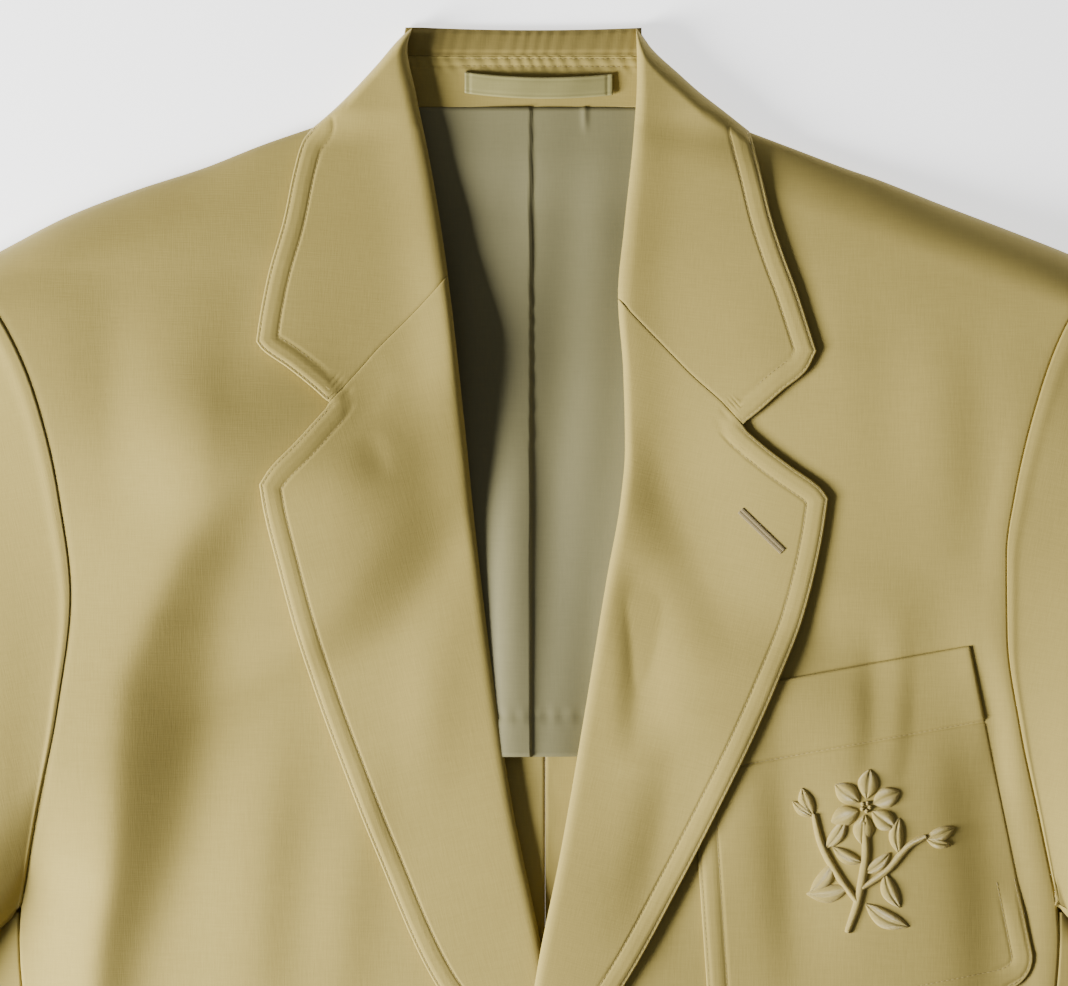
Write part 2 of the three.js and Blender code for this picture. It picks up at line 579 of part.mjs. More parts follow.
function sleeveGeometry(name) {
  const side = SIDES[name];
  const { sign } = side;
  const outerLine = path([[SLEEVE_TOP.x, SLEEVE_TOP.down], [282, 128], [304, 165], [322, 220], [343, 300], [372, 420],
    [402, 540], [CUFF_OUTER.x, CUFF_OUTER.down]]);
  const innerLine = path([[UNDERARM_X + 0.8, UNDERARM_DOWN - 0.4], [262, 446], [280, 540], [295, 630],
    [CUFF_INNER.x, CUFF_INNER.down]]);
  const topArm = ARM_ROWS.slice(1).map((down) => [outerEdge(side, down) + SEAM, down - 0.2]);
  topArm.push([236, 387], [244, 392.5]);
  const lowArm = BACK_ARM_ROWS.slice(1).reverse().map((down) => [BACK_ARM(down) + SEAM, down - 0.2]);
  const ring = [
    { at: [SLEEVE_TOP.x, SLEEVE_TOP.down], q: 0, kind: "fold" },
    ...topArm.map(([x, down]) => ({ at: [x, down], kind: "top" })),
    { at: [UNDERARM_X + 0.8, UNDERARM_DOWN - 0.4], q: 1, kind: "fold" },
    ...lowArm.map(([x, down]) => ({ at: [x, down], kind: "low" })),
  ];
  for (const spot of ring) {
    if (spot.kind !== "fold") spot.q = clamp((spot.at[1] - SLEEVE_TOP.down) / (UNDERARM_DOWN - SLEEVE_TOP.down - 0.4), 0, 1);
  }
  const puff = curve([[0, 30], [0.08, 40], [0.2, 36], [0.5, 28], [0.8, 21], [1, 17]]);
  const place = (spot, s) => {
    const o = outerLine(s);
    const n = innerLine(s);
    const q = mix(spot.q, (1 - Math.cos(Math.PI * spot.q)) / 2, 0.6 * smooth(0, 0.3, s));
    const base = [mix(o[0], n[0], q), mix(o[1], n[1], q)];
    const o0 = outerLine(0);
    const n0 = innerLine(0);
    const rest = [spot.at[0] - mix(o0[0], n0[0], spot.q), spot.at[1] - mix(o0[1], n0[1], spot.q)];
    const hold = spot.kind === "low" ? smooth(290, 375, spot.at[1]) : smooth(368, 396, spot.at[1]);
    const keepX = 1 - smooth(0, mix(0.22, 0.016, hold), s);
    const keepDown = 1 - smooth(0, 0.3, s);
    const x = base[0] + rest[0] * keepX;
    const down = base[1] + rest[1] * keepDown;
    const bulge = Math.sqrt(Math.max(0, 1 - (2 * q - 1) ** 2));
    const foldLevel = mix(SIDE_LEVEL / 2 + 0.5, 5, smooth(0, 0.2, s));
    let level = foldLevel;
    if (spot.kind === "top") {
      const tube = foldLevel + (puff(s) - foldLevel) * bulge;
      const seam = frontHeight(name, clamp(spot.at[0] - SEAM, 0, outerEdge(side, spot.at[1])), spot.at[1]);
      const low = spot.at[1] > SIDE_SEAM_DOWN ? SIDE_LEVEL : seam;
      level = mix(low + 0.6, tube, smooth(0, 0.16, s));
    }
    if (spot.kind === "low") level = foldLevel * (1 - Math.min(1, bulge * 1.5));
    const overSide = s > 0 && spot.kind === "top" && down > 378 && x < UNDERARM_X + 2;
    return new THREE.Vector3(x, down, Math.max(overSide ? SIDE_LEVEL + SLEEVE_WALL + 0.8 : 0, level));
  };
  const grid = SLEEVE_STEPS.map((s) => ring.map((spot) => place(spot, s)));
  const count = ring.length;
  const inner = grid.map((row, i) => row.map((point, k) => {
    const along = grid[Math.min(i + 1, grid.length - 1)][k].clone().sub(grid[Math.max(i - 1, 0)][k]);
    const round = row[(k + 1) % count].clone().sub(row[(k + count - 1) % count]);
    const normal = along.cross(round).normalize();
    const spot = ring[k];
    if (spot.kind === "low") normal.set(normal.x * 0.3, normal.y * 0.3, -1).normalize();
    if (spot.kind === "top" && normal.z < 0) normal.negate();
    if (spot.kind === "fold") normal.set(spot.q === 0 ? 0.7 : -1, spot.q === 0 ? -0.7 : 0, 0).normalize();
    return point.clone().addScaledVector(normal, -SLEEVE_WALL);
  }));
  return tubeGeometry(grid, inner, sign);
}

function tubeGeometry(outer, inner, sign) {
  const rows = outer.length;
  const count = outer[0].length;
  const vertices = [];
  const faces = [];
  for (const grid of [outer, inner]) {
    for (const row of grid) {
      for (const point of row) vertices.push(sign * point.x, MID_DOWN - point.y, point.z);
    }
  }
  const under = rows * count;
  const quad = (a, b, c, d) => faces.push(a, b, c, a, c, d);
  for (let i = 0; i + 1 < rows; i += 1) {
    for (let k = 0; k < count; k += 1) {
      const next = (k + 1) % count;
      const [a, b, c, d] = [i * count + k, (i + 1) * count + k, (i + 1) * count + next, i * count + next];
      quad(a, b, c, d);
      quad(under + a, under + d, under + c, under + b);
    }
  }
  for (let k = 0; k < count; k += 1) {
    const next = (k + 1) % count;
    const last = (rows - 1) * count;
    quad(k, next, under + next, under + k);
    quad(last + k, under + last + k, under + last + next, last + next);
  }
  return closedGeometry(vertices, faces);
}

function pocketRows() {
  const drops = [0, 0.02, 0.11, 0.21, 0.235, 0.33, 0.44, 0.55, 0.66, 0.77, 0.86, 0.93, 0.975, 1];
  const across = [0, 0.03, 0.09, 0.18, 0.3, 0.43, 0.56, 0.68, 0.8, 0.9, 0.97, 1];
  const height = 154;
  return drops.map((drop) => {
    const fromLow = (1 - drop) * height;
    const inset = POCKET.round - Math.sqrt(Math.max(0, POCKET.round ** 2 - Math.max(0, POCKET.round - fromLow) ** 2));
    const share = inset / 140;
    return across.map((c) => {
      const [x, down] = pocketPlace(mix(share, 1 - share, c), drop);
      const bed = bedHeight("right", x, down) + 0.7;
      const hem = POCKET.hemExtra * (1 - smooth(0.212, 0.234, drop));
      return { x, down, top: bed + POCKET.thick + hem, bottom: bed };
    });
  });
}

function standRows() {
  return [STAND_SEAM_DOWN + SEAM, 18, 26, NECK_DOWN - SEAM].map((down) => lerpSteps(0, 1, 10).map((t) => {
    const x = mix(-(SIDES.left.roll(down) + 4), SIDES.right.roll(down) + 4, t);
    const top = STAND_TOP - 0.6 * smooth(STAND_SEAM_DOWN, NECK_DOWN, down);
    return { x, down, top, bottom: top - CLOTH };
  }));
}

// Soft upright folds of the lining, with its pleat near the middle.
function liningLift(x, down) {
  const free = smooth(NECK_DOWN, 90, down);
  const pleat = 1.5 * bell(x + 1.5, 5);
  const waves = 0.9 + 0.9 * Math.sin(x / 7.5 + down / 95) * Math.sin(x / 17 + 1.3);
  return (waves * 0.8 + pleat) * mix(0.25, 1, free);
}

function liningRows() {
  const downs = [NECK_DOWN, 38, 46, 60, 80, 104, 130, 158, 186, 214, 242, 270, 298, 314, LINING_HEM_DOWN];
  return downs.map((down) => lerpSteps(0, 1, 20).map((t) => {
    const hidden = mix(2, 16, smooth(NECK_DOWN, 80, down));
    const x = mix(-(SIDES.left.roll(down) + hidden), SIDES.right.roll(down) + hidden, t);
    const bottom = backLevel(down) + CLOTH + 0.3 + liningLift(x, down);
    return { x, down, top: bottom + LINING_CLOTH, bottom };
  }));
}

const LOOP = { left: -31, right: 34.3, down: 18, width: 9.4, sag: 2.2, thick: 1.2 };

function loopRows() {
  const rows = [0, 0.5, 1];
  return rows.map((r) => lerpSteps(0, 1, 12).map((t) => {
    const x = mix(LOOP.left, LOOP.right, t);
    const arch = Math.sin(Math.PI * t);
    const down = LOOP.down + LOOP.width * r + LOOP.sag * arch + 0.8 * t;
    const bottom = STAND_TOP + 0.3 + 2.1 * arch;
    return { x, down, top: bottom + LOOP.thick, bottom };
  }));
}

// Button: a dished disc with a rim and four holes, turned from its section.
const BUTTON = { radius: 10, thick: 3.2, rim: 1.9, dish: 0.9, hole: 0.95, spacing: 1.9, sides: 40 };

function buttonGeometry(x, down) {
  const { radius, thick, rim, dish, hole, spacing, sides } = BUTTON;
  const reaches = [[0, 0], [radius, 0], [-radius, 0], [0, radius], [0, -radius]];
  const seat = Math.max(...reaches.map(([dx, dy]) => FACETS.right(x + dx, down + dy))) + 0.3;
  const section = [[0, 0], [radius - 1.2, 0], [radius, 1.1], [radius - 0.3, thick - 0.4], [radius - 0.9, thick],
    [radius - rim, thick - 0.2], [radius - rim - 0.8, thick - dish], [0, thick - dish]];
  const disc = latheSolid(section, sides);
  let solid = disc;
  for (const [sx, sy] of [[-1, -1], [1, -1], [1, 1], [-1, 1]]) {
    const drill = latheSolid([[0, -1], [hole, -1], [hole, thick + 1], [0, thick + 1]], 12);
    solid = solid.subtract(drill.translate([sx * spacing, sy * spacing, 0]));
  }
  return fromManifold(solid.translate([x, MID_DOWN - down, seat]));
}

function latheSolid(section, sides) {
  const vertices = [];
  const faces = [];
  const rings = section.slice(1, -1);
  for (const [r, z] of rings) {
    for (let k = 0; k < sides; k += 1) {
      const turn = (2 * Math.PI * k) / sides;
      vertices.push(r * Math.cos(turn), r * Math.sin(turn), z);
    }
  }
  const low = rings.length * sides;
  vertices.push(0, 0, section[0][1], 0, 0, section[section.length - 1][1]);
  for (let k = 0; k < sides; k += 1) {
    const next = (k + 1) % sides;
    faces.push(low, next, k);
    for (let i = 0; i + 1 < rings.length; i += 1) {
      const [a, b] = [i * sides + k, i * sides + next];
      faces.push(a, b, b + sides, a, b + sides, a + sides);
    }
    const last = (rings.length - 1) * sides;
    faces.push(low + 1, last + k, last + next);
  }
  return toManifold(closedGeometry(vertices, faces));
}

const khaki = new THREE.MeshStandardMaterial({ color: KHAKI, roughness: 0.9, metalness: 0 });
const satin = new THREE.MeshStandardMaterial({ color: LINING_COLOR, roughness: 0.45, metalness: 0 });
const horn = new THREE.MeshStandardMaterial({ color: BUTTON_COLOR, roughness: 0.4, metalness: 0 });

const group = new THREE.Group();

function addPiece(name, geometry, material) {
  geometry.computeVertexNormals();
  const mesh = new THREE.Mesh(geometry, material);
  mesh.name = name;
  group.add(mesh);
}

for (const name of ["left", "right"]) {
  addPiece(`back_${name}`, plateGeometry(backRows(name)), khaki);
  addPiece(`side_${name}`, sideGeometry(name), khaki);
  addPiece(`front_${name}`, plateGeometry(PANELS[name]), khaki);
  addPiece(`lapel_${name}`, plateGeometry(lapelRows(name)), khaki);
  addPiece(`sleeve_${name}`, sleeveGeometry(name), khaki);
}
addPiece("collar", collarGeometry(), khaki);
addPiece("collar_stand", plateGeometry(standRows()), khaki);
addPiece("lining", plateGeometry(liningRows()), satin);
addPiece("hanger_loop", plateGeometry(loopRows()), satin);
addPiece("chest_pocket", plateGeometry(pocketRows()), khaki);
addPiece("button_upper", buttonGeometry(0, 486), horn);
addPiece("button_lower", buttonGeometry(0, 586), horn);

export default group;
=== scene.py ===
"""Dresses the laid-out blazer: cloth, stitching, emblem, buttons, floor, light and camera.

Lengths inside the shape classes are millimetres: x across the garment, "down" from the collar's top
fold towards the hem, and level above the floor. Meshes are made in metres in the row's frame.
"""

from __future__ import annotations

import logging
import math
from collections.abc import Callable
from dataclasses import dataclass, field
from enum import Enum
from functools import partial
from typing import Any

import bpy
import numpy as np
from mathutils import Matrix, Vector


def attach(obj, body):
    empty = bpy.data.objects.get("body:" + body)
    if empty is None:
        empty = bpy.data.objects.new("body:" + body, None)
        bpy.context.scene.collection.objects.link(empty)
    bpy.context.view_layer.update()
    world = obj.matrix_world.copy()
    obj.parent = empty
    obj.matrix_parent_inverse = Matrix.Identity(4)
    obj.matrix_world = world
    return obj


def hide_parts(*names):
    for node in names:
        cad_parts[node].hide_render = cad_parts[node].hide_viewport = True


Grid = np.ndarray
Pair = tuple[Grid, Grid]
Edge = Callable[[Grid | float], Pair]
Height = Callable[[Grid, Grid], Grid]

LOG = logging.getLogger("blazer")
MM = 0.001
LENGTH = 760.0
COLLAR_RISE = 1.8
MID_DOWN = (LENGTH - COLLAR_RISE) / 2

# Thickness of the cloth and the gaps between pieces, in millimetres
CLOTH = 1.5
LEAF = 2.4
LINING_CLOTH = 0.9
SEAM = 0.08
LAY_GAP = 1.0

# Collar, neck and lining
FALL_TOP = 1.6
NECK_RISE = 2.1
STAND_TOP = 5.4
STAND_SEAM_DOWN = 11.0
NECK_DOWN = 33.6
LINING_HEM_DOWN = 320.0

# Body panels and armhole
SEAM_BACK_X = 4.5
SIDE_LEVEL = 7.0
SIDE_SEAM_DOWN = 384.0
UNDERARM_DOWN = 400.0
UNDERARM_X = 250.0
ARM_TOP_DOWN = 106.0
ARM_TOP_X = 253.0
SHOULDER_FALL = 24.0
SHOULDER_EDGE = 3.3
FRONT_INSET = 3.7
FRONT_FLOOR = 4.4

# Lapels and the roll
ROLL_REACH = 6.2
ROLL_LIFT = 3.2
ROLL_FADE = 15.0
NOTCH_SHARE = 0.62
LAPEL_END_DOWN = 470.0

# How gradually heights blend, and how round a ramp's foot is
SOFT = 1.6
FOOT_ROUND = 5

# Stitch rows: distance from an edge, and the stand's rows by how far down
EDGE_STITCH = 1.2
SWELL_STITCH = 9.2
STAND_ROWS = (12.0, 15.4)


def smooth(low: float, high: float, value: Grid | float) -> Grid:
    """Smooth step: t*t*(3-2t), where t runs from 0 at low to 1 at high."""
    t = np.clip((np.asarray(value, float) - low) / (high - low), 0, 1)
    return t * t * (3 - 2 * t)


def bell(distance: Grid | float, width: Grid | float) -> Grid:
    """Bell of height 1: exp(-(distance/width)^2)."""
    return np.exp(-((np.asarray(distance, float) / width) ** 2))


def mix(a: Grid | float, b: Grid | float, t: Grid | float) -> Grid:
    """Straight blend: a + (b - a) * t."""
    return a + (b - a) * t


def quarter(reach: Grid | float) -> Grid:
    """Quarter circle: 0 at 0, rising upright to 1 at 1."""
    return np.sqrt(1 - (1 - np.clip(reach, 0, 1)) ** 2)


class Curve:
    """A smooth curve through rows (at, value) that doesn't overshoot a row."""

    def __init__(self, *rows: tuple[float, float]) -> None:
        """Keeps the rows and works out the tangent at each: the harmonic mean of the slopes beside it.

        Args:
            *rows: pairs (place, value), rising in place.
        """
        self.at = np.array([row[0] for row in rows], float)
        self.value = np.array([row[1] for row in rows], float)
        slope = np.diff(self.value) / np.diff(self.at)
        before, after = slope[:-1], slope[1:]
        total = np.where(before + after == 0, 1, before + after)
        middle = np.where(before * after <= 0, 0, 2 * before * after / total)
        self.tangent = np.concatenate([slope[:1], middle, slope[-1:]])

    def __call__(self, at: Grid | float) -> Grid:
        """Value at a place, run on straight beyond both ends.

        Args:
            at: places along the curve.

        Returns:
            Values, in the shape of at.
        """
        where = np.asarray(at, float)
        i = np.clip(np.searchsorted(self.at, where, side="right") - 1, 0, len(self.at) - 2)
        span = self.at[i + 1] - self.at[i]
        t = np.clip((where - self.at[i]) / span, 0, 1)
        rise = 3 * t**2 - 2 * t**3
        inside = (1 - rise) * self.value[i] + rise * self.value[i + 1]
        inside = inside + span * ((t**3 - 2 * t**2 + t) * self.tangent[i] + (t**3 - t**2) * self.tangent[i + 1])
        low = np.minimum(where - self.at[0], 0) * self.tangent[0]
        high = np.maximum(where - self.at[-1], 0) * self.tangent[-1]
        return inside + low + high


class Path:
    """A smooth path through points (x, down), run through by its share of the length."""

    def __init__(self, *points: tuple[float, float]) -> None:
        """Keeps both columns as curves of the share of the length.

        Args:
            *points: points (x, down) on the path.
        """
        spots = np.array(points, float)
        lengths = np.concatenate([[0], np.cumsum(np.hypot(*np.diff(spots, axis=0).T))])
        share = lengths / lengths[-1]
        self.length = float(lengths[-1])
        self.x = Curve(*zip(share, spots[:, 0], strict=True))
        self.down = Curve(*zip(share, spots[:, 1], strict=True))

    def __call__(self, t: Grid | float) -> Pair:
        """Places (x, down) at shares t."""
        return self.x(t), self.down(t)

    def dense(self, step: float = 1.0) -> Grid:
        """Points about one step apart, as rows of (x, down)."""
        x, down = self(np.linspace(0, 1, max(2, int(self.length / step))))
        return np.stack([x, down], axis=1)


def distance_to(x: Grid, down: Grid, line: Grid) -> tuple[Grid, Grid]:
    """Distance from places to a line of points, and the share of the line where it is nearest.

    Args:
        x: places across.
        down: places down, of the same shape.
        line: rows of (x, down).

    Returns:
        Distance and share along the line, in the shape of x.
    """
    a, b = line[:-1], line[1:]
    step = b - a
    size = np.maximum((step**2).sum(axis=1), 1e-9)
    best = np.full(x.shape, 1e9)
    share = np.zeros(x.shape)
    for k in range(len(a)):
        t = np.clip(((x - a[k, 0]) * step[k, 0] + (down - a[k, 1]) * step[k, 1]) / size[k], 0, 1)
        gap = np.hypot(x - a[k, 0] - t * step[k, 0], down - a[k, 1] - t * step[k, 1])
        closer = gap < best
        best = np.where(closer, gap, best)
        share = np.where(closer, (k + t) / len(a), share)
    return best, share


@dataclass(frozen=True)
class Fold:
    """A soft crease or ridge laid along a short line, counted outwards from the middle.

    The line's own left side (towards larger x where it runs down) has its own width.
    """

    line: tuple[tuple[float, float], ...]
    depth: float
    width: float
    left_width: float | None = None

    def sink(self, x: Grid, down: Grid) -> Grid:
        """How far the cloth sinks: depth, a bell across the line, and a half sine along it.

        Args:
            x: places across, in millimetres.
            down: places down, of the same shape.

        Returns:
            How far it sinks.
        """
        points = Path(*self.line)(np.linspace(0, 1, 15))
        line = np.stack(points, axis=1)
        distance, share = distance_to(x, down, line)
        spot = np.minimum((share * (len(line) - 1)).astype(int), len(line) - 2)
        way = np.diff(line, axis=0)[spot]
        turned = way[..., 1] * (x - line[spot, 0]) - way[..., 0] * (down - line[spot, 1])
        width = np.where(turned > 0, self.left_width or self.width, self.width)
        return self.depth * bell(distance, width) * np.sin(np.pi * np.clip(share, 0, 1)) ** 1.2


@dataclass(frozen=True)
class Side:
    """Outlines and large folds of one side, x counted outwards; a curve gives x by how far down.

    A trough is its middle, its depth by down, its width on the outside, and on the inside by down.
    A diagonal is its middle (down by x), its depth, its width above and its width below.
    A ramp caps the height: flat up to its foot line, then rising outwards by its slope over its width.
    Fullness swells the cloth below the collar, and flattens it where it is negative.
    """

    name: str
    sign: int
    layer: int
    neck_top: float
    roll: Curve
    front_edge: Curve
    arm: Curve
    shoulder: Curve
    collar_outer: Path
    collar_notch: Path
    gorge: Path
    lapel_notch: Path
    lapel_outer: Path
    silhouette: Path
    troughs: tuple[tuple[Curve, Curve, float, Curve], ...]
    diagonals: tuple[tuple[Curve, float, float, float], ...]
    folds: tuple[Fold, ...] = ()
    ramps: tuple[tuple[Curve, Curve, float], ...] = ()
    fullness: float = 0.0


LEFT = Side(
    name="left",
    sign=-1,
    layer=0,
    neck_top=38.5,
    roll=Curve((-1.8, 54.1), (8, 56.2), (26, 52.8), (63, 45.3), (108, 38.3), (171, 31.2), (219, 26.4),
               (278, 19.4), (341, 10.1), (397, -1.5), (440, -9), (472, -15)),
    front_edge=Curve((455, -12), (490, -19), (520, -20), (640, -20), (700, -14), (738, 2), (760, 28)),
    arm=Curve((106, 253), (125, 235.4), (160.6, 219), (203.7, 208.6), (248.6, 203.3), (296.6, 209),
              (353.8, 220.4), (384, 226)),
    shoulder=Curve((50, 27), (80, 36.5), (98, 42.6), (120, 50.2), (145.6, 60.3), (175.6, 70),
                   (205.5, 81.4), (235.4, 96.8), (253, 106)),
    collar_outer=Path((97.7, 42.2), (102.5, 49.3), (106, 61.6), (110.4, 83.2), (117.5, 109.1),
                      (121, 127.6), (122.3, 137.3)),
    collar_notch=Path((91, 163.6), (97.7, 157.5), (108.7, 148.7), (119.7, 140.8), (122.3, 137.3)),
    gorge=Path((38.3, 108), (48, 118.8), (56.3, 127.6), (68.6, 139.9), (77.4, 150), (90.2, 164)),
    lapel_notch=Path((90.2, 165), (105.2, 181.7), (116.2, 193.2), (120.6, 200)),
    lapel_outer=Path((120.6, 200), (118.8, 212), (113, 236.3), (106, 263), (96, 294.4), (84.5, 325.6),
                     (70.4, 361.2), (43.6, 420.6), (20, 448), (0, 468), (-12, 482)),
    silhouette=Path((54.1, -1.8), (58.5, 1.8), (70.4, 15.4), (84.9, 30.8), (92, 37.4), (97.7, 42.2)),
    troughs=(
        (Curve((200, 190), (293, 196), (339, 200), (384, 207), (430, 213), (760, 216)),
         Curve((150, 0), (205, -3), (285, -6), (350, -12), (400, -17), (440, -15), (520, -5), (660, 0)), 12.0,
         Curve((200, 24), (760, 24))),
    ),
    ramps=(
        (Curve((150, -10), (185, 8), (211, 25), (235, 40), (260, 57), (277, 76), (308, 130), (350, 150),
               (421, 176), (520, 190), (760, 200)),
         Curve((150, 0.2), (195, 0.36), (235, 0.36), (260, 0.29), (290, 0.12), (320, 0.03), (360, 0),
               (760, 0)), 33.0),
        (Curve((150, 24), (185, 42), (211, 59), (235, 74), (260, 91), (277, 110), (308, 140), (760, 200)),
         Curve((150, 0.16), (190, 0.13), (205, 0.11), (225, 0.07), (260, 0.03), (308, 0), (760, 0)), 200.0),
        (Curve((150, 98), (185, 110), (211, 121), (235, 132), (260, 140), (308, 146), (350, 154), (421, 175),
               (520, 186), (760, 200)),
         Curve((150, 0.1), (185, 0.24), (211, 0.34), (233, 0.42), (290, 0.48), (308, 0.5), (350, 0.5),
               (421, 0.46), (520, 0.2), (640, 0.1)), 90.0),
        (Curve((150, 90), (250, 70), (300, 66), (421, 60), (760, 50)),
         Curve((150, 0), (210, 0), (370, 0.045), (440, 0.045), (560, 0.01), (640, 0), (760, 0)), 80.0),
    ),
    fullness=0.24,
    diagonals=(
        (Curve((20, 136), (60, 170), (90, 184), (130, 186), (170, 182)), -7.0, 34.0, 34.0),
    ),
    folds=(
        Fold(((62, 150), (74, 164), (86, 172)), 0.5, 6, 9),
        Fold(((76, 176), (70, 186), (66, 200)), 0.6, 5, 8),
        Fold(((112, 280), (120, 360), (128, 470)), -2.6, 16, 22),
        Fold(((66, 300), (82, 370), (92, 470)), -1.7, 13, 16),
        Fold(((30, 235), (44, 280), (50, 350)), -1.5, 14),
        Fold(((120, 95), (128, 130), (140, 170)), 0.9, 16),
        Fold(((180, 100), (186, 140), (184, 190)), 1.0, 15),
        Fold(((24, 566), (80, 584), (150, 590)), 1.8, 13, 20),
        Fold(((60, 640), (96, 690), (110, 756)), -1.9, 18, 26),
        Fold(((150, 480), (168, 600), (176, 756)), 2.2, 18, 24),
        Fold(((20, 520), (70, 500), (130, 470)), 1.3, 12, 18),
    ),
)

RIGHT = Side(
    name="right",
    sign=1,
    layer=1,
    neck_top=42.5,
    roll=Curve((-1.8, 44.6), (20, 44.9), (44, 43.6), (87, 39.2), (117, 36.5), (150, 38.8), (184, 39.6),
               (206, 37.8), (241, 31.7), (300, 22), (361, 11.4), (404, 2.6), (440, -4), (472, -14)),
    front_edge=Curve((455, -9), (490, -18), (520, -20), (640, -20), (700, -14), (738, 2), (760, 28)),
    arm=Curve((106, 253), (126.3, 234.5), (159.3, 221.3), (203.7, 210.8), (230.6, 207.2), (266.6, 207.7),
              (308.4, 213.8), (346.3, 222), (384, 230)),
    shoulder=Curve((50, 28), (80, 39), (94.6, 44.6), (112.6, 51.4), (138.6, 61.2), (149.6, 64.9),
                   (179.5, 76.6), (209.4, 88), (234.5, 97.9), (253, 106)),
    collar_outer=Path((94.6, 44), (99.4, 63.4), (103.8, 81.8), (109.1, 98.6), (114.8, 114),
                      (119.2, 127.6), (123.6, 141.5)),
    collar_notch=Path((91.5, 173.2), (97.7, 168.5), (108.7, 158.8), (119.2, 150), (123.6, 141.5)),
    gorge=Path((36.6, 118), (45, 127), (55.4, 137.7), (69.5, 152.2), (82.7, 164.1), (91.3, 173.6)),
    lapel_notch=Path((91.3, 174.6), (101.6, 183.5), (112.6, 191.8), (125.4, 201.1), (129, 206)),
    lapel_outer=Path((129, 206), (126, 226), (117.9, 259.2), (107.4, 286), (95.5, 313.3), (81.8, 341.4),
                     (65.6, 373.1), (39.2, 420.6), (19, 448), (-1, 468), (-12, 482)),
    silhouette=Path((44.6, -1.8), (51.9, 7.9), (63.8, 18.9), (72.2, 26.4), (84, 35.6), (94.6, 44)),
    troughs=((Curve((240, 178), (300, 188), (390, 206), (520, 210)),
              Curve((230, 0), (290, 3.2), (370, 4.4), (440, 3.4), (560, 0)), 16.0, Curve((200, 16), (760, 16))),),
    diagonals=((Curve((50, 250), (120, 268), (190, 300)), 2.0, 20.0, 20.0),),
    fullness=-0.46,
    folds=(
        Fold(((46, 160), (66, 214), (94, 280)), 4.4, 18, 30),
        Fold(((44, 230), (47, 270), (44, 324)), 3.6, 8, 16),
        Fold(((150, 256), (150, 300), (146, 346)), 1.7, 7, 13),
        Fold(((169, 250), (168, 300), (160, 356)), 2.0, 7, 13),
        Fold(((150, 110), (156, 160), (158, 220)), 1.2, 16),
        Fold(((192, 120), (196, 190), (190, 260)), 1.4, 12),
        Fold(((66, 300), (58, 350), (44, 410)), 3.6, 13, 20),
        Fold(((108, 290), (113, 360), (118, 440)), 3.0, 12, 20),
        Fold(((198, 270), (206, 310), (204, 350)), 1.8, 9),
        Fold(((110, 100), (116, 130), (120, 170)), 0.9, 14),
        Fold(((20, 572), (90, 592), (170, 584)), 1.9, 14, 22),
        Fold(((70, 630), (84, 690), (90, 756)), -2.0, 18, 24),
        Fold(((160, 500), (174, 610), (170, 756)), 2.2, 16, 26),
        Fold(((16, 524), (80, 508), (140, 486)), 1.2, 12, 18),
    ),
)

# Side seams, side fold and the back's armhole, as x by how far down
SIDE_SEAM = Curve((384, 0), (400, 1), (480, -6), (640, 8), (760, 12))
SIDE_FOLD = Curve((400, 250), (480, 246), (640, 258), (760, 262))
BACK_SEAM = Curve((400, 240), (480, 232), (640, 244), (760, 248))
BACK_ARM = Curve((106, 252), (150, 236), (220, 228), (300, 230), (360, 236), (400, 240))

# Height of a front by how far down, at the four places across that ACROSS gives as shares
ROLL_HEIGHT = Curve((30, 9.5), (70, 10), (108, 10.8), (160, 10.2), (205, 8.5), (250, 5.4), (340, 5.2),
                    (400, 5.0), (460, 4.5), (760, 4))
INNER_HEIGHT = Curve((30, 11), (70, 16), (108, 19), (171, 20), (250, 20), (340, 16), (400, 12.5),
                     (480, 11), (760, 9))
CHEST_HEIGHT = Curve((40, 14), (70, 22), (108, 27), (171, 28), (250, 25), (340, 20), (480, 15),
                     (640, 14), (760, 11))
ARM_HEIGHTS = {
    -1: Curve((60, 28), (106, 34), (150, 33), (200, 32), (250, 30), (320, 26), (360, 17), (384, 9),
              (420, 8), (760, 7)),
    1: Curve((60, 28), (106, 34), (150, 30), (200, 22), (250, 17), (320, 12), (384, 7.5), (420, 7),
             (760, 7)),
}
ACROSS = (0.0, 0.36, 0.74, 1.0)

# How far the upper front is raised where it lies on the lower one
OVERLAP_LIFT = Curve((330, 0), (395, 6.3), (430, 7.6), (470, 7.2), (510, 6.4), (760, 6))


def back_level(down: Grid | float) -> Grid:
    """Underside of the back cloth: flat, raised over the collar's fall near the neck."""
    return NECK_RISE * (1 - smooth(52, 84, down))


def inner_edge(side: Side, down: Grid | float) -> Grid:
    """Inner edge of a front: just behind the roll, then the front edge below the lapel."""
    return mix(side.roll(down) + FRONT_INSET, side.front_edge(down), smooth(450, 476, down))


def outer_edge(side: Side, down: Grid | float) -> Grid:
    """Outer edge of a front: the armhole, then the side seam.

    Args:
        side: which side of the garment.
        down: places down.

    Returns:
        Places across.
    """
    seam = side.arm(SIDE_SEAM_DOWN) + SIDE_SEAM(np.maximum(down, SIDE_SEAM_DOWN))
    arm = side.arm(np.clip(down, ARM_TOP_DOWN, SIDE_SEAM_DOWN))
    return np.where(np.asarray(down) > SIDE_SEAM_DOWN, seam, arm)


